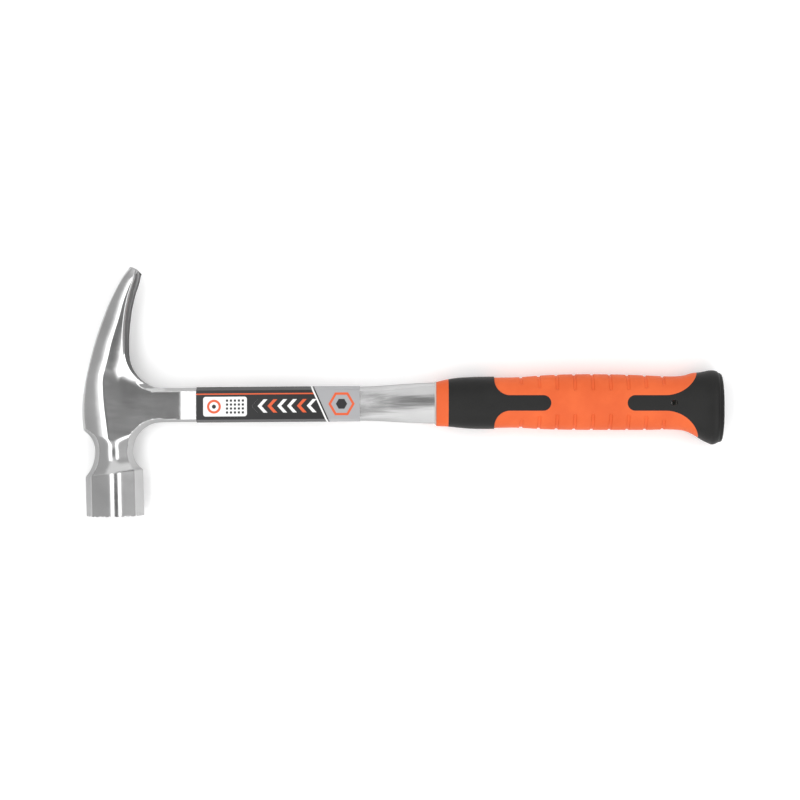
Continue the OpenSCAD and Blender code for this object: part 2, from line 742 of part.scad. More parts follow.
// The resize to nothing keeps every size, and hands the grooved tube on as one finished mesh
module grip_sleeve() {
  color([0.97, 0.42, 0.24]) placed()
    difference() {
      resize([0, 0, 0]) difference() {
        grooved_tube();
        recess() collar_plan();
        recess() butt_plan();
      }
      lanyard_cut();
    }
}

// Outer surface of the collar, which stands out of the orange rubber at its back edge
module collar_body() {
  stations = [
    [collar_in - over, 0], [mix(collar_in, collar_end, 0.5), collar_proud / 2],
    [collar_end + over / 2, collar_proud], [collar_end + collar_fillet_r, 0],
    [grip_in + front_tongue_l - tongue_w, 0], [grip_in + front_tongue_l + over, 0]
  ];
  ring_solid([for (s = stations) grip_ring(s[0], -s[1], false)]);
}

module front_collar() {
  color([0.16, 0.16, 0.16]) placed()
    difference() {
      intersection() {
        collar_body();
        plan_solid() collar_plan();
      }
      grip_body(inlay_t);
    }
}

module butt_cover() {
  rim_share = butt_shares[len(butt_shares) - 1][0];
  rim = mix(grip_in, overall_l, rim_share);
  rings = [
    for (s = [0.6, 0.67, 0.76, 0.83, 0.87, 0.9, 0.91, 0.925, 0.935, 0.945, 0.951, 0.957, 0.968])
      grip_ring(mix(grip_in, overall_l, s), 0, false),
    for (a = [0 : 15 : 75])
      [for (p = grip_ring(rim, 0, false, cos(a))) [rim + (overall_l - rim) * sin(a), p[1], p[2]]]
  ];
  color([0.16, 0.16, 0.16]) placed()
    difference() {
      intersection() {
        ring_solid(rings);
        plan_solid() butt_plan();
      }
      grip_body(inlay_t);
      lanyard_cut();
    }
}

forged_head_and_shank();
label_sleeve();
grip_core();
grip_sleeve();
front_collar();
butt_cover();
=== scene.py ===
"""Looks of a steel framing hammer that lies on its side on a pale studio floor.

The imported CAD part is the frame. Each visible piece of it is replaced by a finer mesh built from
the same sizes: the forging is a half-thickness field over the hammer's side view, and the grip is
a row of oval sections. Shapes are worked out in millimetres in a drawing frame (u along the hammer
from the crown of the head, v across it from the centre line of the shank, z from the middle plane)
and placed in the part's own frame in metres. Places called _in are distances from the crown.
"""

import json
import logging
import math
from dataclasses import dataclass, field
from enum import Enum
from functools import cached_property
from typing import Callable, ClassVar, Sequence, Union

import bpy
import numpy as np
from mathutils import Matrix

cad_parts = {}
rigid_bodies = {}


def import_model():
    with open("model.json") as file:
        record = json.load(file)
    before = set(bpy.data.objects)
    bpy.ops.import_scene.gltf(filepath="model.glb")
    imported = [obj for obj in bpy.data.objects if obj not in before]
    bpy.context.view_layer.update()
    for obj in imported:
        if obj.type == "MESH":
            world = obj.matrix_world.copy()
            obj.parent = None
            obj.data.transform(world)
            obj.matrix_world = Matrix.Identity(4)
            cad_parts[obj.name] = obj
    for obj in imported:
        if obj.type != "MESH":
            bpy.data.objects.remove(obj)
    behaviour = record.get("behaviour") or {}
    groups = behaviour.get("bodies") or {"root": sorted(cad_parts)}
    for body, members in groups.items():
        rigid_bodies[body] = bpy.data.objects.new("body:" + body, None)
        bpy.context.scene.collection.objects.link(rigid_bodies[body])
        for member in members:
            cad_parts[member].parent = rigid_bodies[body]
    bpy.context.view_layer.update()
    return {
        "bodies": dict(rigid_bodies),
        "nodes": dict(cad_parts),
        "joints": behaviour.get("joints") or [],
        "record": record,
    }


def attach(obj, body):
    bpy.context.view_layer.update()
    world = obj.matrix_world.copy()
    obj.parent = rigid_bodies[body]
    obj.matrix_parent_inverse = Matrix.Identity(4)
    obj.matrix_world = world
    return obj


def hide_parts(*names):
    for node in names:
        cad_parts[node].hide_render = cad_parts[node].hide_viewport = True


LOG = logging.getLogger("hammer")

MM = 1000.0
TINY = 1e-6
SHALLOW = math.tan(math.radians(22.5))
STEEP = math.tan(math.radians(67.5))

Values = np.ndarray | float
Pair = tuple[float, float]
Color = tuple[float, float, float, float]
Mesh = bpy.types.Mesh
Socket = bpy.types.NodeSocket
Feed = Union[Socket, float, Color]


def mix(a: Values, b: Values, t: Values) -> Values:
    """Value a fraction t of the way from a to b."""
    return a + (b - a) * t


def ease(t: Values) -> Values:
    """Smooth step: 0 below 0, 1 above 1, with level ends."""
    s = np.clip(t, 0.0, 1.0)
    return s * s * (3 - 2 * s)


def ease_over(x: Values, span: Pair) -> Values:
    """Smooth step from 0 at the start of a span to 1 at its end."""
    return ease((x - span[0]) / (span[1] - span[0]))


def soft_min(a: Values, b: Values, k: Values) -> np.ndarray:
    """Smaller of two values, rounded where they differ by less than k."""
    return np.minimum(a, b) - np.maximum(k - np.abs(a - b), 0) ** 2 / (4 * k)


def circle(centre: Pair, radius: float, n: int = 48) -> np.ndarray:
    """Points round a circle, counter-clockwise."""
    a = np.linspace(0, 2 * math.pi, n, endpoint=False)
    return np.column_stack([centre[0] + radius * np.cos(a), centre[1] + radius * np.sin(a)])


def arc(centre: Pair, radius: float, start: float, end: float, n: int = 24) -> np.ndarray:
    """Points along an arc between two angles in degrees, both ends included."""
    a = np.radians(np.linspace(start, end, n))
    return np.column_stack([centre[0] + radius * np.cos(a), centre[1] + radius * np.sin(a)])


class Curve:
    """Smooth curve through a table of pairs.

    Formula: cubic pieces whose slopes and curvatures agree where they meet (a natural spline),
    with a level start where that is asked for.
    """

    def __init__(self, table: Sequence[Pair], level: bool = False) -> None:
        """Works out the curvature at each place of the table from the slopes beside it.

        Args:
            table: pairs of place and value, in ascending order of place.
            level: whether the curve starts level.
        """
        self.x, self.y = np.array(table, float).T
        n = len(self.x)
        h = np.diff(self.x)
        rise = np.diff(self.y) / h
        i = np.arange(1, n - 1)
        matrix = np.zeros((n, n))
        right = np.zeros(n)
        matrix[i, i - 1] = h[:-1]
        matrix[i, i] = 2 * (h[:-1] + h[1:])
        matrix[i, i + 1] = h[1:]
        right[i] = 6 * np.diff(rise)
        matrix[0, 0] = matrix[-1, -1] = 1
        if level:
            matrix[0, :2] = 2 * h[0], h[0]
            right[0] = 6 * rise[0]
        self.bend = np.linalg.solve(matrix, right)

    def __call__(self, place: Values) -> np.ndarray:
        """Value at each place.

        Args:
            place: places along the curve; those outside the table take its nearer end.

        Returns:
            The values, in the shape of place.
        """
        p = np.clip(place, self.x[0], self.x[-1])
        i = np.clip(np.searchsorted(self.x, p, side="right") - 1, 0, len(self.x) - 2)
        h = self.x[i + 1] - self.x[i]
        s = (p - self.x[i]) / h
        t = 1 - s
        bend = (t**3 - t) * self.bend[i] + (s**3 - s) * self.bend[i + 1]
        return t * self.y[i] + s * self.y[i + 1] + h * h / 6 * bend


@dataclass
class Patchwork:
    """Points of a mesh as rows of (u, v, z), and arrays of its faces with one face per row."""

    points: np.ndarray
    faces: list[np.ndarray]

    def moved(self, matrix: np.ndarray, offset: Sequence[float] = (0, 0, 0)) -> "Patchwork":
        """Patchwork with every point turned by a matrix and then moved."""
        return Patchwork(self.points @ matrix.T + np.array(offset), self.faces)


@dataclass(frozen=True)
class Plan:
    """Measures that several pieces share, in millimetres, and the way from them to meshes."""

    overall_l: float = 406.4
    claw_rise: float = 88.0
    face_drop: float = 70.5
    poll_w: float = 36.5
    # Width of the poll's rounded front corner, as a share of half the poll's width
    apex_round: float = 0.265
    label_in: float = 72.1
    label_l: float = 103.3
    grip_in: float = 223.7
    lip_l: float = 1.0
    # Rise of the handle's centre line towards the claw's side
    handle_rise: float = 1.9

    @property
    def half_t(self) -> float:
        """Height of the middle plane above the floor, from the poll's rounded front corner."""
        return self.poll_w / 2 * (1 - self.apex_round / 4)

    @property
    def label_end(self) -> float:
        """End of the label behind the crown."""
        return self.label_in + self.label_l

    @property
    def shank_end(self) -> float:
        """End of the shank at the grip core's lip."""
        return self.grip_in - self.lip_l

    @property
    def shift(self) -> np.ndarray:
        """Step from the drawing frame to the part's frame, in millimetres."""
        return np.array([-self.overall_l / 2, -(self.claw_rise - self.face_drop) / 2, self.half_t])

    def mesh(self, name: str, work: Patchwork) -> Mesh:
        """Mesh of a patchwork, in metres in the part's frame.

        Args:
            name: name of the mesh.
            work: its points and faces.

        Returns:
            The new mesh.
        """
        counts = np.concatenate([np.full(len(f), f.shape[1]) for f in work.faces])
        used, corners = np.unique(np.concatenate([f.ravel() for f in work.faces]), return_inverse=True)
        places = (work.points[used] + self.shift) / MM
        mesh = bpy.data.meshes.new(name)
        mesh.vertices.add(len(used))
        mesh.vertices.foreach_set("co", places.astype(np.float32).ravel())
        mesh.loops.add(len(corners))
        mesh.loops.foreach_set("vertex_index", corners.astype(np.int32))
        mesh.polygons.add(len(counts))
        starts = np.concatenate([[0], np.cumsum(counts)[:-1]])
        mesh.polygons.foreach_set("loop_start", starts.astype(np.int32))
        mesh.update(calc_edges=True)
        if mesh.validate(verbose=False):
            LOG.warning("mesh %s needed repair", name)
        return mesh


class Axis(Enum):
    """Axes that a patchwork is turned about; the value is the axis' number."""

    X = 0
    Z = 2


def rotation(axis: Axis, degrees: float) -> np.ndarray:
    """Rotation matrix about an axis.

    Args:
        axis: the axis.
        degrees: the turn.

    Returns:
        The matrix, which acts in the plane of the other two axes.
    """
    c, s = math.cos(math.radians(degrees)), math.sin(math.radians(degrees))
    i, j = (axis.value + 1) % 3, (axis.value + 2) % 3
    matrix = np.eye(3)
    matrix[[i, i, j, j], [i, j, i, j]] = c, -s, s, c
    return matrix


def prism(outline: np.ndarray, low: float, high: float) -> Patchwork:
    """Prism over an outline.

    Args:
        outline: rows of (u, v), counter-clockwise.
        low: lower end along z, in millimetres from the middle plane.
        high: upper end.

    Returns:
        Its patchwork.
    """
    n = len(outline)
    points = [np.column_stack([outline, np.full(n, level)]) for level in (low, high)]
    i = np.arange(n)
    j = (i + 1) % n
    sides = np.column_stack([i, j, n + j, n + i])
    return Patchwork(np.concatenate(points), [sides, i[None, ::-1], n + i[None, :]])


def ring_faces(rings: int, columns: int, start: int = 0) -> np.ndarray:
    """Four-sided faces between closed rings of points.

    Args:
        rings: number of rings.
        columns: points in a ring.
        start: number of the first point.

    Returns:
        Corner numbers, one face per row, turning from a ring's direction to the next ring.
    """
    base = start + np.arange(rings - 1)[:, None] * columns
    i = np.arange(columns)[None, :]
    j = (i + 1) % columns
    return np.stack([base + i, base + j, base + columns + j, base + columns + i], axis=-1).reshape(-1, 4)


class Solid(Enum):
    """Solid operations between meshes; the value is the modifier's name of the operation."""

    CUT = "DIFFERENCE"
    JOIN = "UNION"
    COMMON = "INTERSECT"


def combine(base: Mesh, operation: Solid, tools: Sequence[Mesh]) -> Mesh:
    """Mesh left after one solid operation with each tool in turn.

    Args:
        base: closed mesh that is worked on.
        operation: what each tool does to it.
        tools: closed meshes used on it; they are removed afterwards.

    Returns:
        The resulting mesh.
    """
    scene = bpy.context.scene
    holder = bpy.data.objects.new("work", base)
    scene.collection.objects.link(holder)
    for tool in tools:
        cutter = bpy.data.objects.new("tool", tool)
        scene.collection.objects.link(cutter)
        modifier = holder.modifiers.new("step", "BOOLEAN")
        modifier.operation = operation.value
        modifier.solver = "MANIFOLD"
        modifier.object = cutter
        graph = bpy.context.evaluated_depsgraph_get()
        result = bpy.data.meshes.new_from_object(holder.evaluated_get(graph), depsgraph=graph)
        holder.modifiers.clear()
        old = holder.data
        result.name = old.name
        holder.data = result
        bpy.data.meshes.remove(old)
        bpy.data.objects.remove(cutter)
        bpy.data.meshes.remove(tool)
    mesh = holder.data
    bpy.data.objects.remove(holder)
    return mesh


@dataclass(frozen=True)
class Noise:
    """One noise pattern: waves in a metre, finer waves over them, and factors on X, Y and Z."""

    scale: float
    detail: float
    stretch: tuple[float, float, float] = (1.0, 1.0, 1.0)


METAL_CLOUDS = Noise(38, 4)
METAL_WAVES = Noise(90, 2)
POLISH_LINES = Noise(260, 2, (0.12, 1, 1))
FORGE_GRAIN = Noise(900, 3)
FORGE_PATCHES = Noise(120, 3)
RUBBER_CLOUDS = Noise(55, 4)
RUBBER_GRAIN = Noise(1500, 2)
FILM_WAVES = Noise(70, 3)


def grey(value: float) -> Color:
    """Opaque grey."""
    return (value, value, value, 1.0)


@dataclass(frozen=True)
class Shader:
    """Small helper that wires the node tree of a material, a world, a light or a group."""

    tree: bpy.types.NodeTree

    def node(self, kind: str, **settings: object) -> bpy.types.Node:
        """New node, with its properties set.

        Args:
            kind: type of the node.
            **settings: properties of the node.

        Returns:
            The node.
        """
        made = self.tree.nodes.new(kind)
        for key, value in settings.items():
            setattr(made, key, value)
        return made

    def link(self, source: Socket, target: Socket) -> None:
        """Joins an output to an input."""
        self.tree.links.new(source, target)

    def feed(self, target: Socket, value: Feed) -> None:
        """Sets an input from a socket or from a constant.

        Args:
            target: the input.
            value: the output that drives it, or its constant value.
        """
        if isinstance(value, Socket):
            self.link(value, target)
        else:
            target.default_value = value

    def math(
        self, operation: str, a: Feed, b: Feed = 0.0, c: Feed = 0.0, clamp: bool = False
    ) -> Socket:
        """Math node.

        Args:
            operation: name of the operation.
            a: first input.
            b: second input.
            c: third input.
            clamp: whether the result is kept between 0 and 1.

        Returns:
            Its output.
        """
        made = self.node("ShaderNodeMath", operation=operation, use_clamp=clamp)
        for socket, value in zip(made.inputs, (a, b, c)):
            self.feed(socket, value)
        return made.outputs[0]

    def times(self, *factors: Feed) -> Socket:
        """Product of two or more values.

        Args:
            *factors: the values.

        Returns:
            The product.
        """
        product = factors[0]
        for factor in factors[1:]:
            product = self.math("MULTIPLY", product, factor)
        return product

    def add(self, a: Feed, b: Feed) -> Socket:
        """Sum of two values."""
        return self.math("ADD", a, b)

    def scaled(self, value: Feed, factor: Feed, offset: Feed) -> Socket:
        """Value times a factor plus an offset."""
        return self.math("MULTIPLY_ADD", value, factor, offset)

    def size(self, value: Feed) -> Socket:
        """Value without its sign."""
        return self.math("ABSOLUTE", value)

    def step(self, value: Feed, low: float, high: float) -> Socket:
        """Smooth step of a value, which falls where low is above high.

        Args:
            value: the value.
            low: where the step is 0.
            high: where it is 1.

        Returns:
            The step.
        """
        made = self.node("ShaderNodeMapRange", interpolation_type="SMOOTHSTEP")
        self.feed(made.inputs["Value"], value)
        made.inputs["From Min"].default_value = low
        made.inputs["From Max"].default_value = high
        return made.outputs["Result"]

    def beyond(self, value: Feed, limit: float, edge: float = 0.1) -> Socket:
        """Mask that is 1 where a value lies above a limit."""
        return self.step(value, limit - edge, limit + edge)

    def inside(self, value: Feed, limit: float, edge: float = 0.1) -> Socket:
        """Mask that is 1 where a value lies below a limit."""
        return self.step(value, limit + edge, limit - edge)

    def band(self, value: Feed, span: Pair, edge: float = 0.1) -> Socket:
        """Mask that is 1 where a value lies within a span."""
        return self.times(self.beyond(value, span[0], edge), self.inside(value, span[1], edge))

    def blend(self, factor: Feed, a: Feed, b: Feed) -> Socket:
        """Colour between two others.

        Args:
            factor: share of the second colour.
            a: first colour.
            b: second colour.

        Returns:
            The colour.
        """
        made = self.node("ShaderNodeMix", data_type="RGBA")
        first, second = (s for s in made.inputs if s.type == "RGBA")
        self.feed(made.inputs[0], factor)
        self.feed(first, a)
        self.feed(second, b)
        return next(s for s in made.outputs if s.type == "RGBA")

    def object_place(self) -> Socket:
        """Object coordinates, in metres."""
        return self.node("ShaderNodeTexCoord").outputs["Object"]

    def split(self, vector: Socket) -> tuple[Socket, ...]:
        """Parts of a vector.

        Args:
            vector: the vector.

        Returns:
            Its X, Y and Z.
        """
        made = self.node("ShaderNodeSeparateXYZ")
        self.link(vector, made.inputs[0])
        return tuple(made.outputs)

    def distance(self, x: Feed, y: Feed) -> Socket:
        """Distance of a place from the middle."""
        return self.math("SQRT", self.scaled(x, x, self.times(y, y)))

    def hexagon(self, x: Feed, y: Feed) -> Socket:
        """Greater of the way up and the way square to a slanted side, which forms a hexagon."""
        slanted = self.scaled(self.size(x), math.cos(math.pi / 6), self.times(self.size(y), 0.5))
        return self.math("MAXIMUM", self.size(y), slanted)

    def box(self, x: Feed, y: Feed, half: Pair, radius: float) -> Socket:
        """Distance of a place from the outline of a rounded panel, less than 0 inside it."""
        over = [self.math("MAXIMUM", self.add(self.size(p), radius - h), 0.0) for p, h in zip((x, y), half)]
        return self.add(self.distance(*over), -radius)

    def noise(self, place: Socket, pattern: Noise) -> Socket:
        """Value of a noise pattern.

        Args:
            place: coordinates.
            pattern: the pattern.

        Returns:
            Values from 0 to 1, mostly near a half.
        """
        mapping = self.node("ShaderNodeMapping")
        mapping.inputs["Scale"].default_value = pattern.stretch
        self.link(place, mapping.inputs["Vector"])
        made = self.node("ShaderNodeTexNoise")
        made.inputs["Scale"].default_value = pattern.scale
        made.inputs["Detail"].default_value = pattern.detail
        self.link(mapping.outputs[0], made.inputs["Vector"])
        return made.outputs[0]


@dataclass(frozen=True)
class LabelDesign:
    """Generic pattern on the label's film, in millimetres.

    Places run along the film from its grip end, and across it from its middle line, which
    follows the shank. The pattern has three fields: a slanted panel with a hexagon, a row of
    chevrons, and a rounded panel with squares and a ring.
    """

    tilt: float = 0.0075
    drop: float = -0.93
    slant: float = -0.45
    panel: Pair = (-20.0, 24.0)
    stripe: Pair = (25.0, 26.1)
    hexagon_at: float = 11.5
    hexagon_ring: Pair = (5.7, 7.2)
    hexagon_core: float = 3.1
    line: Pair = (6.3, 7.1)
    chevron_fold: float = 0.9
    chevrons: Pair = (31.0, 68.2)
    chevron_rise: Pair = (-5.2, 3.2)
    chevron_pitch: float = 6.2
    chevron_share: float = 0.4
    chevron_edge: float = 0.02
    # Every how many chevrons one has the accent's colour, and the first that has it
    accent_cycle: float = 3.0
    accent_first: float = 1.0
    middle: float = 1.0
    board_at: float = 85.0
    board_low: float = 1.2
    board_half: Pair = (13.8, 6.2)
    board_corner: float = 1.6
    square_pitch: float = 2.5
    square_share: Pair = (0.22, 0.78)
    square_edge: float = 0.04
    squares: Pair = (72.5, 85.0)
    squares_rise: Pair = (-6.2, 3.8)
    ring_at: float = 92.0
    ring: Pair = (2.9, 4.4)
    ring_dot: float = 1.3


class Pattern(Enum):
    """Shader groups; the value is the group's name."""

    POLISH = "polished_metal"
    FORGE_SKIN = "forge_skin"
    MOULDED = "moulded_grain"
    PRINT = "printed_film"


COLOR, FLOAT, VECTOR = "NodeSocketColor", "NodeSocketFloat", "NodeSocketVector"
SURFACE_OUTPUTS = {"Color": COLOR, "Roughness": FLOAT, "Normal": VECTOR}
TWO_TONES = {"Low": COLOR, "High": COLOR}
INPUTS = {
    Pattern.POLISH: TWO_TONES | {"Wear": FLOAT, "Streaks": FLOAT},
    Pattern.FORGE_SKIN: TWO_TONES | {"Clean": COLOR, "Grain": FLOAT},
    Pattern.MOULDED: TWO_TONES | {"Grain": FLOAT},
    Pattern.PRINT: {"Ink": COLOR, "Paper": COLOR, "Panel": COLOR, "Accent": COLOR},
}
Given = dict[str, Socket]


@dataclass(frozen=True)
class Layer:
    """What a group puts out: colour, roughness, and a bump whose depth is in metres."""

    color: Socket
    rough: Socket
    height: Socket
    strength: Socket
    depth: float


@dataclass(frozen=True)
class GroupMaker:
    """Draws the shader groups.

    A start is the span in metres over which an effect sets in, along the hammer for the oval
    shank and across it for the forge skin. A pair for roughness is the plain one, and what the
    clouds add to it.
    """

    plan: Plan
    oval_start: Pair = (-0.04, -0.005)
    skin_start: Pair = (0.002, 0.0135)
    polish_rough: float = 0.11
    line_rough: float = 0.06
    cloud_rough: float = 0.08
    polish_bump: float = 0.1
    forge_rough: float = 0.15
    skin_rough: float = 0.15
    grain_rough: float = 0.3
    rubber_tones: Pair = (0.3, 0.7)
    rubber_rough: Pair = (0.46, 0.16)
    film_rough: Pair = (0.26, 0.1)
    film_bump: float = 0.06

    def group(self, pattern: Pattern) -> bpy.types.NodeTree:
        """Group with named inputs and the outputs Color, Roughness and Normal.

        Args:
            pattern: which group.

        Returns:
            The group's tree.
        """
        draw: dict[Pattern, Callable[[Shader, Given], Layer]] = {
            Pattern.POLISH: self.polish,
            Pattern.FORGE_SKIN: self.forge_skin,
            Pattern.MOULDED: self.moulded,
            Pattern.PRINT: self.printed,
        }
        inputs = INPUTS[pattern]
        tree = bpy.data.node_groups.new(pattern.value, "ShaderNodeTree")
        for label, kind in inputs.items():
            tree.interface.new_socket(label, in_out="INPUT", socket_type=kind)
        for label, kind in SURFACE_OUTPUTS.items():
            tree.interface.new_socket(label, in_out="OUTPUT", socket_type=kind)
        sh = Shader(tree)
        given = sh.node("NodeGroupInput").outputs
        layer = draw[pattern](sh, {label: given[label] for label in inputs})
        out = sh.node("NodeGroupOutput")
        bump = sh.node("ShaderNodeBump")
        bump.inputs["Distance"].default_value = layer.depth
        sh.link(layer.strength, bump.inputs["Strength"])
        sh.link(layer.height, bump.inputs["Height"])
        sh.link(layer.color, out.inputs["Color"])
        sh.link(layer.rough, out.inputs["Roughness"])
        sh.link(bump.outputs[0], out.inputs["Normal"])
        return tree

    def polish(self, sh: Shader, given: Given) -> Layer:
        """Polished steel: faint uneven gloss and fine polishing lines along the hammer.

        Args:
            sh: helper on the group.
            given: Low and High, the two tones; Wear, how uneven the gloss is; Streaks, how much
                deeper the lines are along the oval part of the shank.

        Returns:
            The layer.
        """
        place = sh.object_place()
        clouds = sh.noise(place, METAL_CLOUDS)
        lines = sh.noise(place, POLISH_LINES)
        uneven = sh.scaled(lines, self.line_rough, sh.times(clouds, self.cloud_rough))
        oval = sh.times(sh.step(sh.split(place)[0], *self.oval_start), given["Streaks"])
        return Layer(
            color=sh.blend(clouds, given["Low"], given["High"]),
            rough=sh.scaled(uneven, given["Wear"], self.polish_rough),
            height=sh.scaled(lines, sh.add(oval, 1.0), sh.noise(place, METAL_WAVES)),
            strength=sh.times(given["Wear"], self.polish_bump),
            depth=0.0004,
        )

    def forge_skin(self, sh: Shader, given: Given) -> Layer:
        """Steel left as forged: dark, grainy and dull.

        Args:
            sh: helper on the group.
            given: Low and High, the skin's two tones; Clean, the bare metal's near the shank,
                where the skin fades out; Grain, the bump's strength.

        Returns:
            The layer.
        """
        place = sh.object_place()
        skin = sh.step(sh.split(place)[1], *self.skin_start)
        grain = sh.noise(place, FORGE_GRAIN)
        patches = sh.noise(place, FORGE_PATCHES)
        tone = sh.blend(sh.times(grain, patches), given["Low"], given["High"])
        return Layer(
            color=sh.blend(skin, given["Clean"], tone),
            rough=sh.scaled(sh.scaled(grain, self.grain_rough, self.skin_rough), skin, self.forge_rough),
            height=sh.add(grain, patches),
            strength=sh.times(given["Grain"], skin),
            depth=0.0006,
        )

    def moulded(self, sh: Shader, given: Given) -> Layer:
        """Moulded rubber or plastic: two close tones and a fine grain.

        Args:
            sh: helper on the group.
            given: Low and High, the two tones; Grain, the bump's strength.

        Returns:
            The layer.
        """
        place = sh.object_place()
        clouds = sh.noise(place, RUBBER_CLOUDS)
        return Layer(
            color=sh.blend(sh.step(clouds, *self.rubber_tones), given["Low"], given["High"]),
            rough=sh.scaled(clouds, self.rubber_rough[1], self.rubber_rough[0]),
            height=sh.noise(place, RUBBER_GRAIN),
            strength=given["Grain"],
            depth=0.0003,
        )

    def printed(self, sh: Shader, given: Given) -> Layer:
        """Printed film with the label's pattern.

        Formula: every shape is a mask of distances in millimetres along and across the film,
        laid over the shapes before it.

        Args:
            sh: helper on the group.
            given: Ink, Paper, Panel and Accent, the four colours.

        Returns:
            The layer.
        """
        d = LabelDesign()
        ink, paper, panel, accent = (given[label] for label in ("Ink", "Paper", "Panel", "Accent"))
        place = sh.object_place()
        along, across, _ = sh.split(place)
        x = sh.scaled(along, -MM, self.plan.label_end + float(self.plan.shift[0]))
        y = sh.scaled(across, MM, -float(self.plan.shift[1]))
        y = sh.add(sh.scaled(x, d.tilt, y), d.drop)
        slant = sh.scaled(y, d.slant, x)
        color = sh.blend(sh.band(slant, d.panel), ink, panel)
        color = sh.blend(sh.band(slant, d.stripe), color, paper)

        hexagon = sh.hexagon(sh.add(x, -d.hexagon_at), y)
        color = sh.blend(sh.band(hexagon, d.hexagon_ring), color, accent)
        color = sh.blend(sh.inside(hexagon, d.hexagon_core), color, ink)

        line = sh.times(sh.band(y, d.line), sh.beyond(slant, d.stripe[1]))
        color = sh.blend(line, color, accent)

        bent = sh.scaled(sh.size(sh.add(y, d.middle)), d.chevron_fold, x)
        turns = sh.times(sh.add(bent, -d.chevrons[0]), 1 / d.chevron_pitch)
        field = sh.times(sh.band(y, d.chevron_rise), sh.band(bent, d.chevrons))
        chevron = sh.times(field, sh.inside(sh.math("FRACT", turns), d.chevron_share, d.chevron_edge))
        number = sh.math("MODULO", sh.math("FLOOR", turns), d.accent_cycle)
        accented = sh.inside(sh.size(sh.add(number, -d.accent_first)), 0.5)
        color = sh.blend(chevron, color, sh.blend(accented, paper, accent))

        low = sh.add(y, d.board_low)
        board = sh.box(sh.add(x, -d.board_at), low, d.board_half, d.board_corner)
        color = sh.blend(sh.inside(board, 0.0), color, paper)
        shares = [sh.math("FRACT", sh.times(way, 1 / d.square_pitch)) for way in (x, low)]
        square = sh.times(*(sh.band(share, d.square_share, d.square_edge) for share in shares))
        field = sh.times(sh.band(x, d.squares), sh.band(y, d.squares_rise))
        color = sh.blend(sh.times(square, field), color, ink)
        ring = sh.distance(sh.add(x, -d.ring_at), low)
        color = sh.blend(sh.band(ring, d.ring), color, accent)
        color = sh.blend(sh.inside(ring, d.ring_dot), color, ink)

        waves = sh.noise(place, FILM_WAVES)
        return Layer(
            color=color,
            rough=sh.scaled(waves, self.film_rough[1], self.film_rough[0]),
            height=waves,
            strength=sh.times(waves, self.film_bump),
            depth=0.0003,
        )


@dataclass(frozen=True)
class Finish:
    """One finish: a shader group with its own settings.

    Args:
        name: name of the material.
        pattern: the group that draws it.
        settings: value of each of the group's inputs.
        metallic: 1 for metal.
        ior: index of refraction.
        edge_tint: colour of a metal's reflection at a flat angle.
    """

    name: str
    pattern: Pattern
    settings: dict[str, Color | float]
    metallic: float = 0.0
    ior: float = 1.34
    edge_tint: Color = grey(1.0)

    def material(self, tree: bpy.types.NodeTree) -> bpy.types.Material:
        """Material of the finish.

        Args:
            tree: the group of its pattern.

        Returns:
            The material.
        """
        material = bpy.data.materials.new(self.name)
        material.use_nodes = True
        sh = Shader(material.node_tree)
        body = material.node_tree.nodes["Principled BSDF"]
        group = sh.node("ShaderNodeGroup", node_tree=tree)
        for label, value in self.settings.items():
            group.inputs[label].default_value = value
        sh.link(group.outputs["Color"], body.inputs["Base Color"])
        sh.link(group.outputs["Roughness"], body.inputs["Roughness"])
        sh.link(group.outputs["Normal"], body.inputs["Normal"])
        body.inputs["Metallic"].default_value = self.metallic
        body.inputs["Specular Tint"].default_value = self.edge_tint
        body.inputs["IOR"].default_value = self.ior
        return material


POLISHED = Finish(
    "polished_steel",
    Pattern.POLISH,
    {"Low": grey(0.41), "High": grey(0.59), "Wear": 1.0, "Streaks": 7.0},
    metallic=1.0,
    edge_tint=grey(0.5),
)
GROUND = Finish(
    "ground_steel",
    Pattern.POLISH,
    {"Low": grey(0.4), "High": grey(0.5), "Wear": 3.0, "Streaks": 0.0},
    metallic=1.0,
    edge_tint=grey(0.5),
)
AS_FORGED = Finish(
    "forged_steel",
    Pattern.FORGE_SKIN,
    {"Low": grey(0.08), "High": grey(0.38), "Clean": grey(0.5), "Grain": 0.8},
    metallic=1.0,
    edge_tint=grey(0.5),
)
ORANGE = Finish(
    "orange_rubber",
    Pattern.MOULDED,
    {"Low": (0.7, 0.107, 0.023, 1), "High": (0.77, 0.132, 0.032, 1), "Grain": 0.25},
)
BLACK = Finish(
    "black_rubber",
    Pattern.MOULDED,
    {"Low": (0.006, 0.006, 0.0058, 1), "High": (0.010, 0.010, 0.0095, 1), "Grain": 0.35},
)
CORE = Finish(
    "core_plastic",
    Pattern.MOULDED,
    {"Low": (0.5, 0.5, 0.47, 1), "High": (0.58, 0.58, 0.56, 1), "Grain": 0.15},
)
FILM = Finish(
    "printed_film",
    Pattern.PRINT,
    {
        "Ink": (0.014, 0.014, 0.015, 1),
        "Paper": (0.84, 0.84, 0.83, 1),
        "Panel": (0.36, 0.36, 0.37, 1),
        "Accent": (0.7, 0.105, 0.03, 1),
    },
    ior=1.4,
)


@dataclass(frozen=True)
class Palette:
    """Makes each shader group and each material once, and keeps them."""

    maker: GroupMaker
    groups: dict[Pattern, bpy.types.NodeTree] = field(default_factory=dict)
    materials: dict[str, bpy.types.Material] = field(default_factory=dict)

    def material(self, finish: Finish) -> bpy.types.Material:
        """Material of a finish, made when it is first asked for.

        Args:
            finish: the finish.

        Returns:
            Its material.
        """
        if finish.pattern not in self.groups:
            self.groups[finish.pattern] = self.maker.group(finish.pattern)
        if finish.name not in self.materials:
            self.materials[finish.name] = finish.material(self.groups[finish.pattern])
        return self.materials[finish.name]


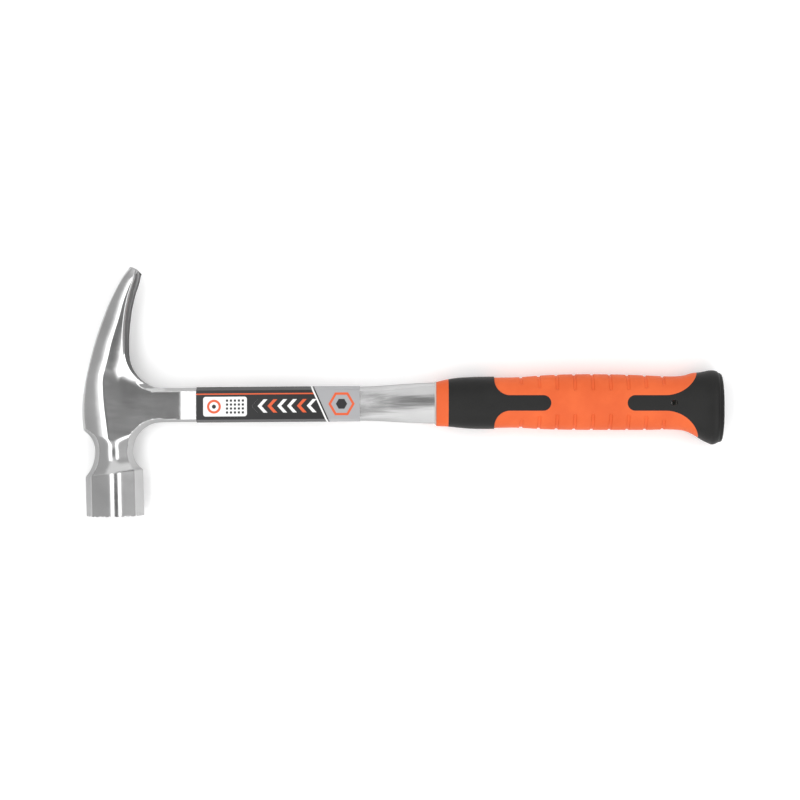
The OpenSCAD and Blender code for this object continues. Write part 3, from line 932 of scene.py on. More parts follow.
class Piece:
    """What every finished piece has: its names, its finishes and its way into the scene."""

    NAME: ClassVar[str]
    NODE: ClassVar[str]
    SLOT: ClassVar[str]
    FINISHES: ClassVar[tuple[Finish, ...]]
    # Angle in degrees above which an edge stays sharp
    SHARP: ClassVar[float] = 32.0

    def build(self) -> Mesh:
        """Mesh of the piece, in metres in the part's frame."""
        raise NotImplementedError

    def dress(self, mesh: Mesh, palette: Palette) -> None:
        """Gives a mesh its materials and its shading.

        Args:
            mesh: the piece's mesh, whose faces know the number of their finish.
            palette: maker of materials.
        """
        kinds = np.zeros(len(mesh.polygons), np.int32)
        mesh.polygons.foreach_get("material_index", kinds)
        mesh.materials.clear()
        for finish in self.FINISHES:
            mesh.materials.append(palette.material(finish))
        mesh.polygons.foreach_set("material_index", kinds)
        mesh.shade_smooth()
        mesh.set_sharp_from_angle(angle=math.radians(self.SHARP))

    def show(self, palette: Palette) -> None:
        """Builds the piece and puts it in place of its CAD node.

        Args:
            palette: maker of materials.
        """
        mesh = self.build()
        self.dress(mesh, palette)
        piece = bpy.data.objects.new(self.NAME, mesh)
        bpy.context.scene.collection.objects.link(piece)
        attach(piece, "root")
        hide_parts(self.NODE)
        LOG.info("%s: %d faces", self.NAME, len(mesh.polygons))


# Share of the claw's rise, and share of the way from the foremost place of the crown to its tips
CROWN_LINE = Curve((
    (0.0, 0.0), (0.15, 0.038), (0.32, 0.138), (0.52, 0.298), (0.65, 0.434),
    (0.77, 0.584), (0.86, 0.72), (0.95, 0.88), (1.0, 1.0),
), level=True)
# Share of the way from the fillet to the tips, and share of the underside's forward sweep
UNDER_LINE = Curve((
    (0.0, 0.0), (0.25, 0.02), (0.4, 0.11), (0.52, 0.21), (0.63, 0.36), (0.75, 0.56), (0.87, 0.82), (1.0, 1.0),
))
# Share of the claw's rise, and width of the arch up to its crest in halves of the cheeks' thickness
CREST_LINE = Curve((
    (-0.34, 1.24), (-0.11, 1.28), (0.1, 1.05), (0.22, 0.93), (0.33, 0.95), (0.47, 0.93), (0.61, 0.9),
    (0.76, 0.76), (0.94, 0.6), (1.0, 0.52),
))
# The same for the chamfer along the crown
CHAMFER_LINE = Curve((
    (-0.34, 0.97), (-0.11, 0.98), (0.1, 0.78), (0.22, 0.62), (0.33, 0.66), (0.47, 0.7), (0.61, 0.73),
    (0.76, 0.61), (0.94, 0.47), (1.0, 0.4),
))


@dataclass(frozen=True)
class ForgingForm:
    """Half thickness of the forging over its side view, and the lines of that view.

    Slopes are rises of the surface for each millimetre of the way in from an edge.
    """

    plan: Plan
    # Half thickness of every edge
    land: float = 0.4
    # Poll and neck
    poll_in: float = 19.7
    poll_lean: float = 1.3
    neck_w: float = 24.0
    neck_drop: float = 29.3
    cove_crown_r: float = 15.5
    shoulder_crown_r: float = 22.8
    shoulder_grip_r: float = 14.1
    neck_round: float = 0.37
    crown_facet: float = 2.27
    grip_facet: float = 3.08
    neck_apex_shift: float = 1.2
    poll_apex_shift: float = -2.0
    crease_round: float = 0.8
    # Crown and cheeks
    crown_low: float = -4.4
    crown_toe_r: float = 85.0
    crown_edge: float = 6.0
    crown_round: float = 1.0
    chamfer_start: float = 1.2
    chamfer_end: float = 0.12
    cheek_t: float = 25.0
    cheek_power: float = 1.2
    flat_in: float = 62.0
    roll_slope: float = 0.71
    roll_start: float = -3.1
    roll_most: float = 11.0
    roll_bend: float = 0.0086
    roll_fade: Pair = (34.0, 46.0)
    # Claw
    claw_w: float = 26.4
    tip_in: float = 31.2
    tip_drop: float = 4.1
    tip_round: float = 0.22
    tip_nose: float = 2.1
    root_in: float = 27.8
    under_sweep: float = 7.7
    under_edge: float = 0.84
    claw_fillet_r: float = 22.8
    tine_round: float = 1.8
    fall_start: float = 0.09
    fall_growth: float = 0.105
    fall_most: float = 0.78
    blend_lean: float = 0.41
    blend_reach: float = 15.0
    blend_fade: Pair = (34.0, 46.0)
    blend_span: Pair = (0.15, 0.26)
    edge_span: Pair = (0.08, 0.2)
    thicken_span: Pair = (0.1, 0.4)
    # Shank
    shank_h: float = 21.7
    shank_t: float = 11.2
    oval_h: float = 25.9
    oval_t: float = 16.0
    oval_from: float = 0.75
    oval_crest: float = 0.14
    bend_end: float = 0.75
    joint_gap: float = 1.0

    @property
    def poll_r(self) -> float:
        """Half the poll's width across its corners."""
        return self.plan.poll_w / 2

    @property
    def neck_r(self) -> float:
        """Half the neck's width."""
        return self.neck_w / 2

    @property
    def shank_r(self) -> float:
        """Half the flat shank's height."""
        return self.shank_h / 2

    @property
    def claw_c(self) -> Pair:
        """Centre of the fillet between claw and shank."""
        return self.root_in + self.claw_fillet_r, self.shank_r + self.claw_fillet_r

    @property
    def cove_r(self) -> float:
        """Radius of the hollow between neck and shank."""
        return self.neck_drop - self.shank_r

    @property
    def cove_c(self) -> Pair:
        """Centre of the hollow between neck and shank."""
        return self.poll_in + self.neck_r + self.cove_r, -self.neck_drop

    @property
    def joint_in(self) -> float:
        """Place where the shank's sections begin, just past both hollows."""
        return max(self.claw_c[0], self.cove_c[0]) + self.joint_gap

    def crown(self, v: Values) -> np.ndarray:
        """Line of the crown.

        Formula: a circle's toe below its foremost place, and a curve through shares above it.

        Args:
            v: heights.

        Returns:
            Its distance from the crown's foremost place at each height.
        """
        toe = np.maximum(self.crown_low - v, 0) ** 2 / (2 * self.crown_toe_r)
        share = (v - self.crown_low) / (self.plan.claw_rise - self.crown_low)
        return np.where(v < self.crown_low, toe, self.tip_in * CROWN_LINE(share))

    def under(self, v: Values) -> np.ndarray:
        """Line of the claw's underside.

        Formula: the fillet's quarter circle, and above it a curve that sweeps forward.

        Args:
            v: heights.

        Returns:
            Its distance from the crown's foremost place at each height.
        """
        cu, cv = self.claw_c
        fillet = cu - np.sqrt(np.maximum(0, self.claw_fillet_r**2 - (cv - v) ** 2))
        share = (v - cv) / (self.plan.claw_rise - self.tip_drop - cv)
        return np.where(v < cv, fillet, self.root_in + self.under_sweep * UNDER_LINE(share))

    def arch(self, v: Values) -> np.ndarray:
        """Width of the crown's arch at height v."""
        return self.cheek_t / 2 * CREST_LINE(v / self.plan.claw_rise)

    def crown_arch(self, d: Values, v: Values, w: Values) -> np.ndarray:
        """Half thickness behind the crown line.

        Formula: a chamfer whose slope lessens with the square of the way that is left to the
        chamfer's width, then a nearly level band up to the crest; at the crown it starts from a
        narrow steep edge.

        Args:
            d: distance behind the crown line.
            v: height.
            w: half thickness at the crest.

        Returns:
            The half thickness.
        """
        crest = self.arch(v)
        edge = self.cheek_t / 2 * CHAMFER_LINE(v / self.plan.claw_rise)
        band = self.chamfer_end / 2 * np.maximum(0, crest - np.maximum(d, edge)) ** 2 / (crest - edge)
        rest = np.maximum(0, edge - d)
        steepening = (self.chamfer_start - self.chamfer_end) / 3
        chamfer = w - band - self.chamfer_end * rest - steepening * rest**3 / edge**2
        start = self.land + self.crown_edge * STEEP * d
        return np.maximum(self.land, soft_min(start, chamfer, self.crown_round))

    def cove(self, v: Values, radius: float) -> np.ndarray:
        """Half width of the neck above its narrowest place, beside a hollow of a radius."""
        return self.neck_r + radius - np.sqrt(np.maximum(0, radius**2 - (v + self.neck_drop) ** 2))

    def oval_share(self, u: Values) -> Values:
        """Share of the way from the flat shank to the oval one."""
        start = self.plan.label_in + self.plan.label_l * self.oval_from
        return ease_over(u, (start, self.plan.shank_end))

    def flat_z(self, u: Values, v: Values) -> np.ndarray:
        """Half thickness of cheeks and shank without their edges.

        Formula: the cheeks' half thickness at the crest falls to the shank's with a power
        of the way that is left to the place where the cheeks end.

        Args:
            u: distance behind the crown.
            v: height.

        Returns:
            The half thickness.
        """
        crest = self.crown(v) + self.arch(v)
        base = mix(self.shank_t, self.oval_t, self.oval_share(u)) / 2
        left = 1 - np.clip((u - crest) / (self.flat_in - crest), 0, 1)
        return base + (self.cheek_t - self.shank_t) / 2 * left**self.cheek_power

    def roll(self, v: Values, up: Values) -> np.ndarray:
        """Fall of the cheeks beside the fillet: a parabola over a strip, faded out up the claw."""
        strip = np.clip(self.roll_slope * v + self.roll_start, 0, self.roll_most)
        return self.roll_bend * np.maximum(0, strip - up) ** 2 * (1 - ease_over(v, self.roll_fade))

    def claw_z(self, v: Values) -> np.ndarray:
        """Half thickness of the claw, rounded in at the tips."""
        t = np.clip(1 - (self.plan.claw_rise - v) / (self.claw_w / 2), 0, 1)
        return self.claw_w / 2 * (1 - self.tip_round * t * t)

    def side_gaps(self, u: Values, v: Values) -> tuple[np.ndarray, np.ndarray]:
        """Distances of a place from the outline above it and below it on the grip side.

        Args:
            u: distance behind the crown.
            v: height.

        Returns:
            The distance from claw, fillet or shank above, and from hollow or shank below.
        """
        cu, cv = self.claw_c
        du, dv = self.cove_c
        claw = np.where(v < cv, np.hypot(u - cu, v - cv) - self.claw_fillet_r, self.under(v) - u)
        up = np.where(u > cu, self.shank_r - v, claw)
        down = np.where(u > du, self.shank_r + v, np.hypot(u - du, v - dv) - self.cove_r)
        return np.maximum(0, up), np.maximum(0, down)

    def octagon_side(self, d: Values, r: Values, steep: float, shift: Values = 0.0) -> np.ndarray:
        """Lower of the steep and the shallow facet at distance d inside an octagon's outline."""
        return np.minimum(self.land + steep * d, r * (1 - SHALLOW) + SHALLOW * (d + shift))

    def octagon(self, d: Values, a: float, b: float) -> np.ndarray:
        """Half thickness of an octagonal section.

        Args:
            d: place from its middle line, less than 0 on the crown side.
            a: half width on the crown side.
            b: half width on the grip side.

        Returns:
            The half thickness, with the two halves' shallow facets joined by a round.
        """
        r = min(a, b)
        grown = np.clip((r - self.neck_r) / (self.poll_r - self.neck_r), 0, 1)
        shift = mix(self.neck_apex_shift, self.poll_apex_shift, grown)
        left = self.octagon_side(d + a, a, self.crown_facet, shift)
        right = self.octagon_side(b - d, b, self.grip_facet)
        return soft_min(left, right, mix(self.neck_round, self.plan.apex_round, grown) * r)

    def height(self, u: Values, v: Values) -> np.ndarray:
        """Half thickness of cheeks, claw, shank and upper neck.

        Formula: the least of the arched body, the edge profiles above and below, and the neck's
        octagonal trumpet; the body changes from cheeks to claw with height.

        Args:
            u: distance behind the crown.
            v: height.

        Returns:
            The half thickness.
        """
        rise = v / self.plan.claw_rise
        reach = np.minimum(u - self.poll_in, self.blend_reach) * (1 - ease_over(u, self.blend_fade))
        leaning = (v + self.blend_lean * reach) / self.plan.claw_rise
        w = mix(self.cheek_t / 2, self.claw_z(v), ease_over(leaning, self.thicken_span))
        up, down = self.side_gaps(u, v)
        body = self.body(u, v, w, up, ease_over(leaning, self.blend_span))
        top = self.top_edge(body, w, up, ease_over(rise, self.edge_span))
        low = self.land + self.grip_facet * down
        neck = np.minimum(low, self.trumpet(u, v, body, down, low))
        return np.maximum(self.land, soft_min(np.minimum(body, top), neck, self.crease_round))

    def body(self, u: Values, v: Values, w: Values, up: Values, claw: Values) -> np.ndarray:
        """Half thickness of the arched body of cheeks and claw.

        Formula: the lower of the crown's arch and of the side behind its crest, which is the
        flat cheek below and falls at a growing slope on the claw.

        Args:
            u: distance behind the crown.
            v: height.
            w: half thickness at the crest.
            up: distance from the outline above.
            claw: share of the claw in the side's shape.

        Returns:
            The half thickness.
        """
        arch = self.arch(v)
        behind = np.maximum(0, (u - self.crown(v) - arch) / arch)
        bent = np.minimum(behind, self.fall_most)
        fall = w * (1 - self.fall_start * behind - self.fall_growth * bent * (2 * behind - bent))
        flat = self.flat_z(u, v) - self.roll(v, up)
        side = mix(flat, np.maximum(fall, flat), claw)
        return np.minimum(self.crown_arch(np.maximum(0, u - self.crown(v)), v, w), side)

    def top_edge(self, body: Values, w: Values, up: Values, claw: Values) -> np.ndarray:
        """Half thickness near the outline above.

        Formula: a steep bevel along the shank turns into a quarter round along the claw.

        Args:
            body: half thickness of the body.
            w: half thickness at the crest.
            up: distance from the outline.
            claw: share of the claw in the edge's shape.

        Returns:
            The half thickness.
        """
        edge = mix(self.land, w * self.under_edge, claw)
        width = np.maximum(TINY, mix((body - self.land) / STEEP, self.tine_round, claw))
        t = np.clip(up / width, 0, 1)
        return edge + (body - edge) * mix(t, np.sqrt(np.maximum(0, 1 - (1 - t) ** 2)), claw)

    def trumpet(self, u: Values, v: Values, body: Values, down: Values, low: Values) -> np.ndarray:
        """Half thickness of the neck's octagon where it widens towards cheeks and shank.

        Args:
            u: distance behind the crown.
            v: height.
            body: half thickness of the body.
            down: distance from the outline below.
            low: half thickness of the steep facet on the grip side.

        Returns:
            The half thickness, which is out of the way above the neck.
        """
        left_r = self.cove(v, self.cove_crown_r)
        right_r = self.cove(v, self.cove_r)
        facets = self.octagon_side(u - self.poll_in + left_r, left_r, self.crown_facet, self.neck_apex_shift)
        left = np.where(v > self.cove_top, body + self.cheek_t, facets)
        right = np.minimum(right_r * (1 - SHALLOW) + SHALLOW * down, low)
        neck = soft_min(left, right, self.neck_round * self.neck_r)
        return np.where(v > -self.shank_r - self.land, left, neck)

    @property
    def cove_top(self) -> float:
        """Height at which the hollow on the crown side ends."""
        return self.cove_crown_r - self.neck_drop - self.land

    @property
    def shoulder(self) -> float:
        """Distance from the neck's narrowest place to the poll's full width on the crown side."""
        return self.shoulder_reach(self.shoulder_crown_r)

    @property
    def shoulder_lift(self) -> float:
        """Height of the shoulder on the grip side as a share of that on the crown side."""
        return self.shoulder_reach(self.shoulder_grip_r) / self.shoulder

    def shoulder_reach(self, radius: float) -> float:
        """Way along the neck in which an arc of a radius widens it to the poll."""
        return math.sqrt(radius**2 - (radius - self.poll_r + self.neck_r) ** 2)

    def shoulder_radii(self, q: float) -> Pair:
        """Half widths of the shoulder.

        Args:
            q: distance below the neck's narrowest place.

        Returns:
            The half widths on the crown side and on the grip side.
        """
        ways = (self.shoulder_crown_r, q), (self.shoulder_grip_r, q * self.shoulder_lift)
        left, right = (min(self.poll_r, self.neck_r + r - math.sqrt(r**2 - way * way)) for r, way in ways)
        return left, right

    def poll_axis(self, q: float) -> Pair:
        """Middle of the section at a distance q below the neck's narrowest place."""
        lean = math.tan(math.radians(self.poll_lean))
        return self.poll_in + lean * q * q / self.shoulder / 2, -self.neck_drop - q

    @property
    def poll_length(self) -> float:
        """Length of the poll's straight part along its leaning axis."""
        a, foot = math.radians(self.poll_lean), self.poll_axis(self.shoulder)[1]
        return (self.plan.face_drop + foot - self.poll_r * math.sin(a)) / math.cos(a)

    def handle_v(self, u: Values) -> Values:
        """Height of the handle's centre line."""
        end = self.bend_end * self.plan.overall_l
        return self.plan.handle_rise * np.clip((u - self.joint_in) / (end - self.joint_in), 0, 1)

    def shank_half(self, u: Values) -> Values:
        """Half height of the shank."""
        span = self.plan.label_end, self.plan.shank_end
        return mix(self.shank_h, self.oval_h, ease_over(u, span)) / 2

    def shank_z(self, u: float, place: np.ndarray) -> np.ndarray:
        """Half thickness of the shank.

        Formula: a bar with bevelled edges turns into an ellipse with its crest moved up.

        Args:
            u: distance behind the crown.
            place: places across the shank, from -1 at its lower edge to 1 at its upper edge.

        Returns:
            The half thickness at each place.
        """
        flat = self.flat_z(u, 0.0)
        steep = np.where(place < 0, self.grip_facet, STEEP)
        bar = np.minimum(flat, self.land + steep * self.shank_half(u) * (1 - np.abs(place)))
        across = place - self.oval_crest * (1 - place * place)
        oval = self.land + (flat - self.land) * np.sqrt(np.maximum(0, 1 - across * across))
        return mix(bar, oval, self.oval_share(u))


@dataclass(frozen=True)
class HeadSteps:
    """How finely the forging's surface is divided."""

    half_columns: int = 40
    rim: int = 10
    poll: int = 12
    shoulder: int = 34
    cove: int = 56
    shank: int = 44
    fillet: int = 56
    claw: int = 120
    nose: int = 8
    cheeks_to_label: int = 22
    label: int = 40
    label_to_grip: int = 40
    # Angle of the hollow at which the sections' middle has moved to the crest, in degrees
    middle_turn: float = 60.0
    # Angle to which the tips are rounded, in degrees
    nose_turn: float = 80.0


class SteelFinish(Enum):
    """Finishes on the forging; the value is the finish's number in Forging.FINISHES."""

    POLISHED = 0
    AS_FORGED = 1
    GROUND = 2


@dataclass(frozen=True)
class Forging(ForgingForm, Piece):
    """The forging: head, shank and tang, with its nail slot and milled face."""

    NAME: ClassVar[str] = "steel_forging"
    NODE: ClassVar[str] = "forged_head_and_shank"
    SLOT: ClassVar[str] = "steel"
    FINISHES: ClassVar[tuple[Finish, ...]] = (POLISHED, AS_FORGED, GROUND)
    SHARP: ClassVar[float] = 24.0

    steps: HeadSteps = HeadSteps()
    # Milled face
    mill_pitch: float = 3.2
    mill_w: float = 1.7
    mill_d: float = 0.8
    mill_overrun: float = 1.0
    # Nail slot
    slot_w: float = 8.4
    slot_root: float = 29.0
    slot_slant: float = 43.0
    slot_overrun: float = 4.0
    # Tang
    tang_l: float = 134.0
    tang_h: float = 16.0
    tang_end_h: float = 12.0
    tang_t: float = 6.0
    tang_root: float = 2.0
    lock_d: float = 7.0
    lock_n: int = 3
    # Borders between the finishes
    skin_reach: float = 4.0
    skin_start: float = 1.0
    skin_side: float = 0.62
    skin_ahead: float = 0.2
    skin_tip: float = 0.6
    face_margin: float = 0.05
    slot_start: float = 6.0
    slot_half: float = 0.6
    slot_margin: float = 0.4
    surface_margin: float = 0.3

    def column_shares(self, middle: float) -> np.ndarray:
        """Shares of the way across a section in two halves, closer together towards its edges."""
        half = 1 - np.cos(np.linspace(0, math.pi / 2, self.steps.half_columns + 1))
        return np.concatenate([middle * half, 1 - (1 - middle) * half[-2::-1]])

    def places(self) -> np.ndarray:
        """Places across the shank, closer together towards its edges."""
        return np.sin(np.linspace(-math.pi / 2, math.pi / 2, self.steps.shank + 1))

    def row(self, p: Sequence[float], q: Sequence[float], middle: float) -> np.ndarray:
        """Points of a section of the head.

        Args:
            p: its end on the crown side, in (u, v).
            q: its end on the grip side.
            middle: share of the way at which the two halves meet.

        Returns:
            Rows of (u, v, z).
        """
        t = self.column_shares(middle)
        u = mix(p[0], q[0], t)
        v = mix(p[1], q[1], t)
        return np.column_stack([u, v, self.height(u, v)])

    def level_row(self, v: float, right: float) -> np.ndarray:
        """Points of a level section from the crown to a place on the grip side."""
        left = float(self.crown(v))
        return self.row((left, v), (right, v), float(self.arch(v)) / (right - left))

    def poll_row(self, q: float, drop: float = 0.0) -> np.ndarray:
        """Points of an octagonal section below the neck.

        Formula: the section turns with the way down the shoulder; its grip side is lifted
        to that side's shorter shoulder, and the lift runs out along the poll.

        Args:
            q: distance below the neck's narrowest place.
            drop: further distance along the poll.

        Returns:
            Rows of (u, v, z).
        """
        a, b = self.shoulder_radii(q)
        cu, cv = self.poll_axis(q)
        turn = math.radians(self.poll_lean) * q / self.shoulder
        t = self.column_shares(0.5)
        middle = self.steps.half_columns + 1
        d = np.concatenate([-a + 2 * a * t[:middle], 2 * b * (t[middle:] - 0.5)])
        lift = (1 - self.shoulder_lift) * q * t * (1 - drop / self.poll_length)
        down = drop - lift
        u = cu + d * math.cos(turn) + down * math.sin(turn)
        v = cv + d * math.sin(turn) - down * math.cos(turn)
        return np.column_stack([u, v, self.octagon(d, a, b)])

    def poll_rows(self) -> list[np.ndarray]:
        """Sections from the striking face to the neck's narrowest place.

        Returns:
            Rows of points.
        """
        drops = np.linspace(self.poll_length, 0, self.steps.poll, endpoint=False)
        ways = (self.shoulder * i / self.steps.shoulder for i in range(self.steps.shoulder, 0, -1))
        return [self.poll_row(self.shoulder, drop) for drop in drops] + [self.poll_row(q) for q in ways]

    def neck_rows(self) -> list[np.ndarray]:
        """Sections from the neck's narrowest place to the shank's lower edge.

        Returns:
            Rows of points, at equal angles round the hollow on the grip side.
        """
        rows = []
        for a in np.linspace(0, 90, self.steps.cove, endpoint=False):
            v = float(-self.neck_drop + self.cove_r * math.sin(math.radians(a)))
            left = float(self.crown(v))
            if v <= self.cove_top:
                left = max(left, self.poll_in - float(self.cove(v, self.cove_crown_r)))
            right = self.poll_in + float(self.cove(v, self.cove_r))
            middle = mix(0.5, float(self.arch(v)) / (right - left), float(ease(a / self.steps.middle_turn)))
            rows.append(self.row((left, v), (right, v), middle))
        return rows

    def fillet_rows(self) -> list[np.ndarray]:
        """Sections along the fillet, at equal angles round it.

        Returns:
            Rows of points.
        """
        rows = []
        for i in range(1, self.steps.fillet + 1):
            rise = 1 - math.cos(math.radians(90 * i / self.steps.fillet))
            v = self.shank_r + self.claw_fillet_r * rise
            rows.append(self.level_row(v, float(self.under(v))))
        return rows

    def claw_rows(self) -> list[np.ndarray]:
        """Sections from the fillet to the claw's tips.

        Formula: the sections tilt to the tips' slant; at the tips their ends draw in round a
        quarter circle.

        Returns:
            Rows of points.
        """
        start, rise = self.claw_c[1], self.plan.claw_rise
        nose = self.tip_nose / (rise - start)
        ways = [(t, 0.0) for t in np.linspace(0, 1 - nose, self.steps.claw + 1)[1:]]
        turn = np.radians(np.linspace(0, self.steps.nose_turn, self.steps.nose + 1)[1:])
        ways += [(1 - nose * (1 - math.sin(a)), self.tip_nose * (1 - math.cos(a))) for a in turn]
        rows = []
        for t, inset in ways:
            p = mix(start, rise, t)
            q = mix(start, rise - self.tip_drop, t)
            a = np.array([float(self.crown(p)), p])
            b = np.array([float(self.under(q)), q])
            chord = float(np.linalg.norm(b - a))
            along = (b - a) / chord * inset
            middle = (float(self.arch(p)) - inset) / (chord - 2 * inset)
            rows.append(self.row(a + along, b - along, middle))
        return rows

    def section(self, u: float, grow: float = 0.0) -> np.ndarray:
        """Front side of a section of the shank, from its lower edge to its upper edge.

        Args:
            u: distance behind the crown.
            grow: how far the section is drawn out.

        Returns:
            Rows of (u, v, z).
        """
        place = self.places()
        v = self.handle_v(u) + (self.shank_half(u) + grow) * place
        return np.column_stack([np.full(len(place), u), v, self.shank_z(u, place) + grow])

    def loop(self, row: np.ndarray) -> np.ndarray:
        """Closed loop of a section: front side, rim, back side and the other rim.

        Args:
            row: points of the front side.

        Returns:
            Rows of (u, v, z).
        """
        flip = np.array([1, 1, -1])
        t = (np.arange(1, self.steps.rim + 1) / (self.steps.rim + 1))[:, None]
        right = mix(row[-1], row[-1] * flip, t)
        left = mix(row[0] * flip, row[0], t)
        return np.concatenate([row, right, row[::-1] * flip, left])

    def head(self) -> Mesh:
        """Closed mesh of head and shank.

        The head's loops stand on each other; those at the shank's root lack their rim on the
        grip side, and the shank's loops start from the ring that this leaves.

        Returns:
            The mesh.
        """
        plan, steps = self.plan, self.steps
        rows = self.poll_rows() + self.neck_rows()
        first = len(rows)
        rows += [self.level_row(float(self.shank_r * place), self.joint_in) for place in self.places()]
        last = len(rows) - 1
        rows += self.fillet_rows() + self.claw_rows()
        spans = (
            (self.joint_in, plan.label_in, steps.cheeks_to_label),
            (plan.label_in, plan.label_end, steps.label),
            (plan.label_end, plan.shank_end, steps.label_to_grip),
        )
        stations = np.concatenate([np.linspace(start, end, n)[1:] for start, end, n in spans])
        loops = [self.loop(row) for row in rows]
        bars = [self.loop(self.section(float(u))) for u in stations]

        m, side, rim = len(loops[0]), len(rows[0]), steps.rim
        base = len(rows) * m
        size = len(bars[0])
        keep = np.ones((len(rows) - 1, m), bool)
        keep[first:last, side - 1 : side + rim] = False
        body = ring_faces(len(rows), m)[keep.ravel()]
        up = np.arange(steps.shank + 1)
        around = np.arange(rim)
        joint = np.concatenate(
            [
                (first + up) * m + side - 1,
                last * m + side + around,
                (last - up) * m + side + rim,
                first * m + side + rim - 1 - around,
            ]
        )
        ring = np.concatenate([joint, base + np.arange(len(bars) * size)]).reshape(len(bars) + 1, -1)
        after = np.roll(ring, -1, axis=1)
        bar = np.stack([ring[1:], after[1:], after[:-1], ring[:-1]], axis=-1).reshape(-1, 4)
        caps = (
            self.cap(0, side, m, False),
            self.cap((len(rows) - 1) * m, side, m, True),
            self.cap(base + (len(bars) - 1) * size, steps.shank + 1, size, False),
        )
        faces = [body, bar, *(cap[0] for cap in caps), *(rims for cap in caps for rims in cap[1:])]
        return self.plan.mesh("forged_head", Patchwork(np.concatenate([*loops, *bars]), faces))

    def cap(self, start: int, side: int, m: int, turned: bool) -> list[np.ndarray]:
        """Faces that close a loop: strips between its two sides, and a face over each rim.

        Args:
            start: number of the loop's first point.
            side: points of one side.
            m: points of the loop.
            turned: whether the faces are turned over.

        Returns:
            The strips, and the two rim faces.
        """
        rim = self.steps.rim
        j = np.arange(side - 1)
        other = 2 * side + rim - 1 - j
        strips = np.column_stack([j, j + 1, other - 1, other])
        right = np.arange(side - 1, side + rim + 1)[None, :]
        left = np.concatenate([np.arange(2 * side + rim - 1, m), [0]])[None, :]
        return [start + (faces if turned else faces[:, ::-1]) for faces in (strips, right, left)]

    def slot(self) -> Mesh:
        """Wedge that opens the nail slot from its root on the underside.

        Returns:
            The cutter.
        """
        spread = (self.plan.claw_rise - self.slot_root) * math.sin(math.radians(self.slot_slant))
        outline = np.array([[0, 0], [2 * spread, -self.slot_w], [2 * spread, self.slot_w]])
        work = prism(outline, 0, 2 * self.root_in + self.slot_overrun)
        work = work.moved(rotation(Axis.X, 90), (0, 2 * self.root_in, 0))
        root = (float(self.under(self.slot_root)), self.slot_root, 0)
        return self.plan.mesh("slot", work.moved(rotation(Axis.Z, self.slot_slant), root))

    def milling(self, turn: float) -> list[Mesh]:
        """Grooves of the striking face that run one way.

        Args:
            turn: turn of the grooves in degrees.

        Returns:
            A cutter for each groove: a V with a shank that reaches out of the face.
        """
        reach = math.floor(self.poll_r / self.mill_pitch - 0.5) - 0.5
        h = self.mill_w / 2
        out = self.mill_overrun
        outline = np.array([[0, -self.mill_d], [h, 0], [h, out], [-h, out], [-h, 0]])
        foot = (*self.poll_axis(self.shoulder), 0)
        cutters = []
        for i in np.arange(-reach, reach + 0.5):
            work = prism(outline, -self.poll_r - out, self.poll_r + out)
            work = work.moved(rotation(Axis.X, 90), (i * self.mill_pitch, 0, 0))
            work = work.moved(rotation(Axis.Z, turn), (0, 0, self.poll_length))
            work = work.moved(rotation(Axis.X, 90))
            work = work.moved(rotation(Axis.Z, self.poll_lean), foot)
            cutters.append(self.plan.mesh("milling", work))
        return cutters

    def tang(self) -> Mesh:
        """Flat bar inside the grip, with its locking holes.

        Returns:
            The mesh, which starts a little inside the shank.
        """
        start = self.plan.shank_end - self.tang_root
        nose_r = self.tang_end_h / 2
        v = float(self.handle_v(self.plan.shank_end))
        nose = arc((self.tang_l + self.tang_root - nose_r, 0), nose_r, -90, 90, 25)
        corners = ([[0, side * self.tang_h / 2]] for side in (-1, 1))
        outline = np.concatenate([next(corners), nose, next(corners)]) + np.array([start, v])
        holes = []
        for i in range(1, self.lock_n + 1):
            centre = (self.plan.shank_end + self.tang_l * i / (self.lock_n + 1), v)
            hole = prism(circle(centre, self.lock_d / 2), -self.tang_t, self.tang_t)
            holes.append(self.plan.mesh("lock", hole))
        bar = self.plan.mesh("tang", prism(outline, -self.tang_t / 2, self.tang_t / 2))
        return combine(bar, Solid.CUT, holes)

    def build(self) -> Mesh:
        """Finished mesh of the forging.

        Returns:
            The mesh, whose faces know the number of their finish.
        """
        mesh = combine(self.head(), Solid.CUT, [self.slot()])
        for turn in (0, 90):
            mesh = combine(mesh, Solid.CUT, self.milling(turn))
        mesh = combine(mesh, Solid.JOIN, [self.tang()])
        mesh.name = self.NODE
        self.sort_finishes(mesh)
        return mesh

    def sort_finishes(self, mesh: Mesh) -> None:
        """Gives each face its finish by its place and direction.

        Formula: faces of the claw's underside that point along the hammer stay as forged; faces
        within the milling's depth of the striking face, and walls of the nail slot, are ground.

        Args:
            mesh: the forging.
        """
        u, v, z = (face_values(mesh, "center") * MM - self.plan.shift).T
        ahead, upward, side = face_values(mesh, "normal").T
        lean = math.radians(self.poll_lean)
        cu, cv = self.poll_axis(self.shoulder)
        depth = (u - cu) * math.sin(lean) - (v - cv) * math.cos(lean)
        milled = depth > self.poll_length - self.mill_d - self.face_margin
        under = (v > self.shank_r + self.skin_start) & (self.side_gaps(u, v)[0] < self.skin_reach)
        under &= (np.abs(side) < self.skin_side) & (ahead > self.skin_ahead)
        under |= (v > self.plan.claw_rise - 2 * self.tip_drop) & (upward > self.skin_tip)
        slot = (v > self.shank_r + self.slot_start) & (np.abs(z) < self.slot_w * self.slot_half)
        slot &= np.abs(z) <= self.height(u, v) - self.surface_margin
        slot &= (u < self.under(v) - self.slot_margin) & (u > self.crown(v) + self.slot_margin)
        kind = np.full(len(u), SteelFinish.POLISHED.value, np.int32)
        kind[under] = SteelFinish.AS_FORGED.value
        kind[milled | slot] = SteelFinish.GROUND.value
        mesh.polygons.foreach_set("material_index", kind)


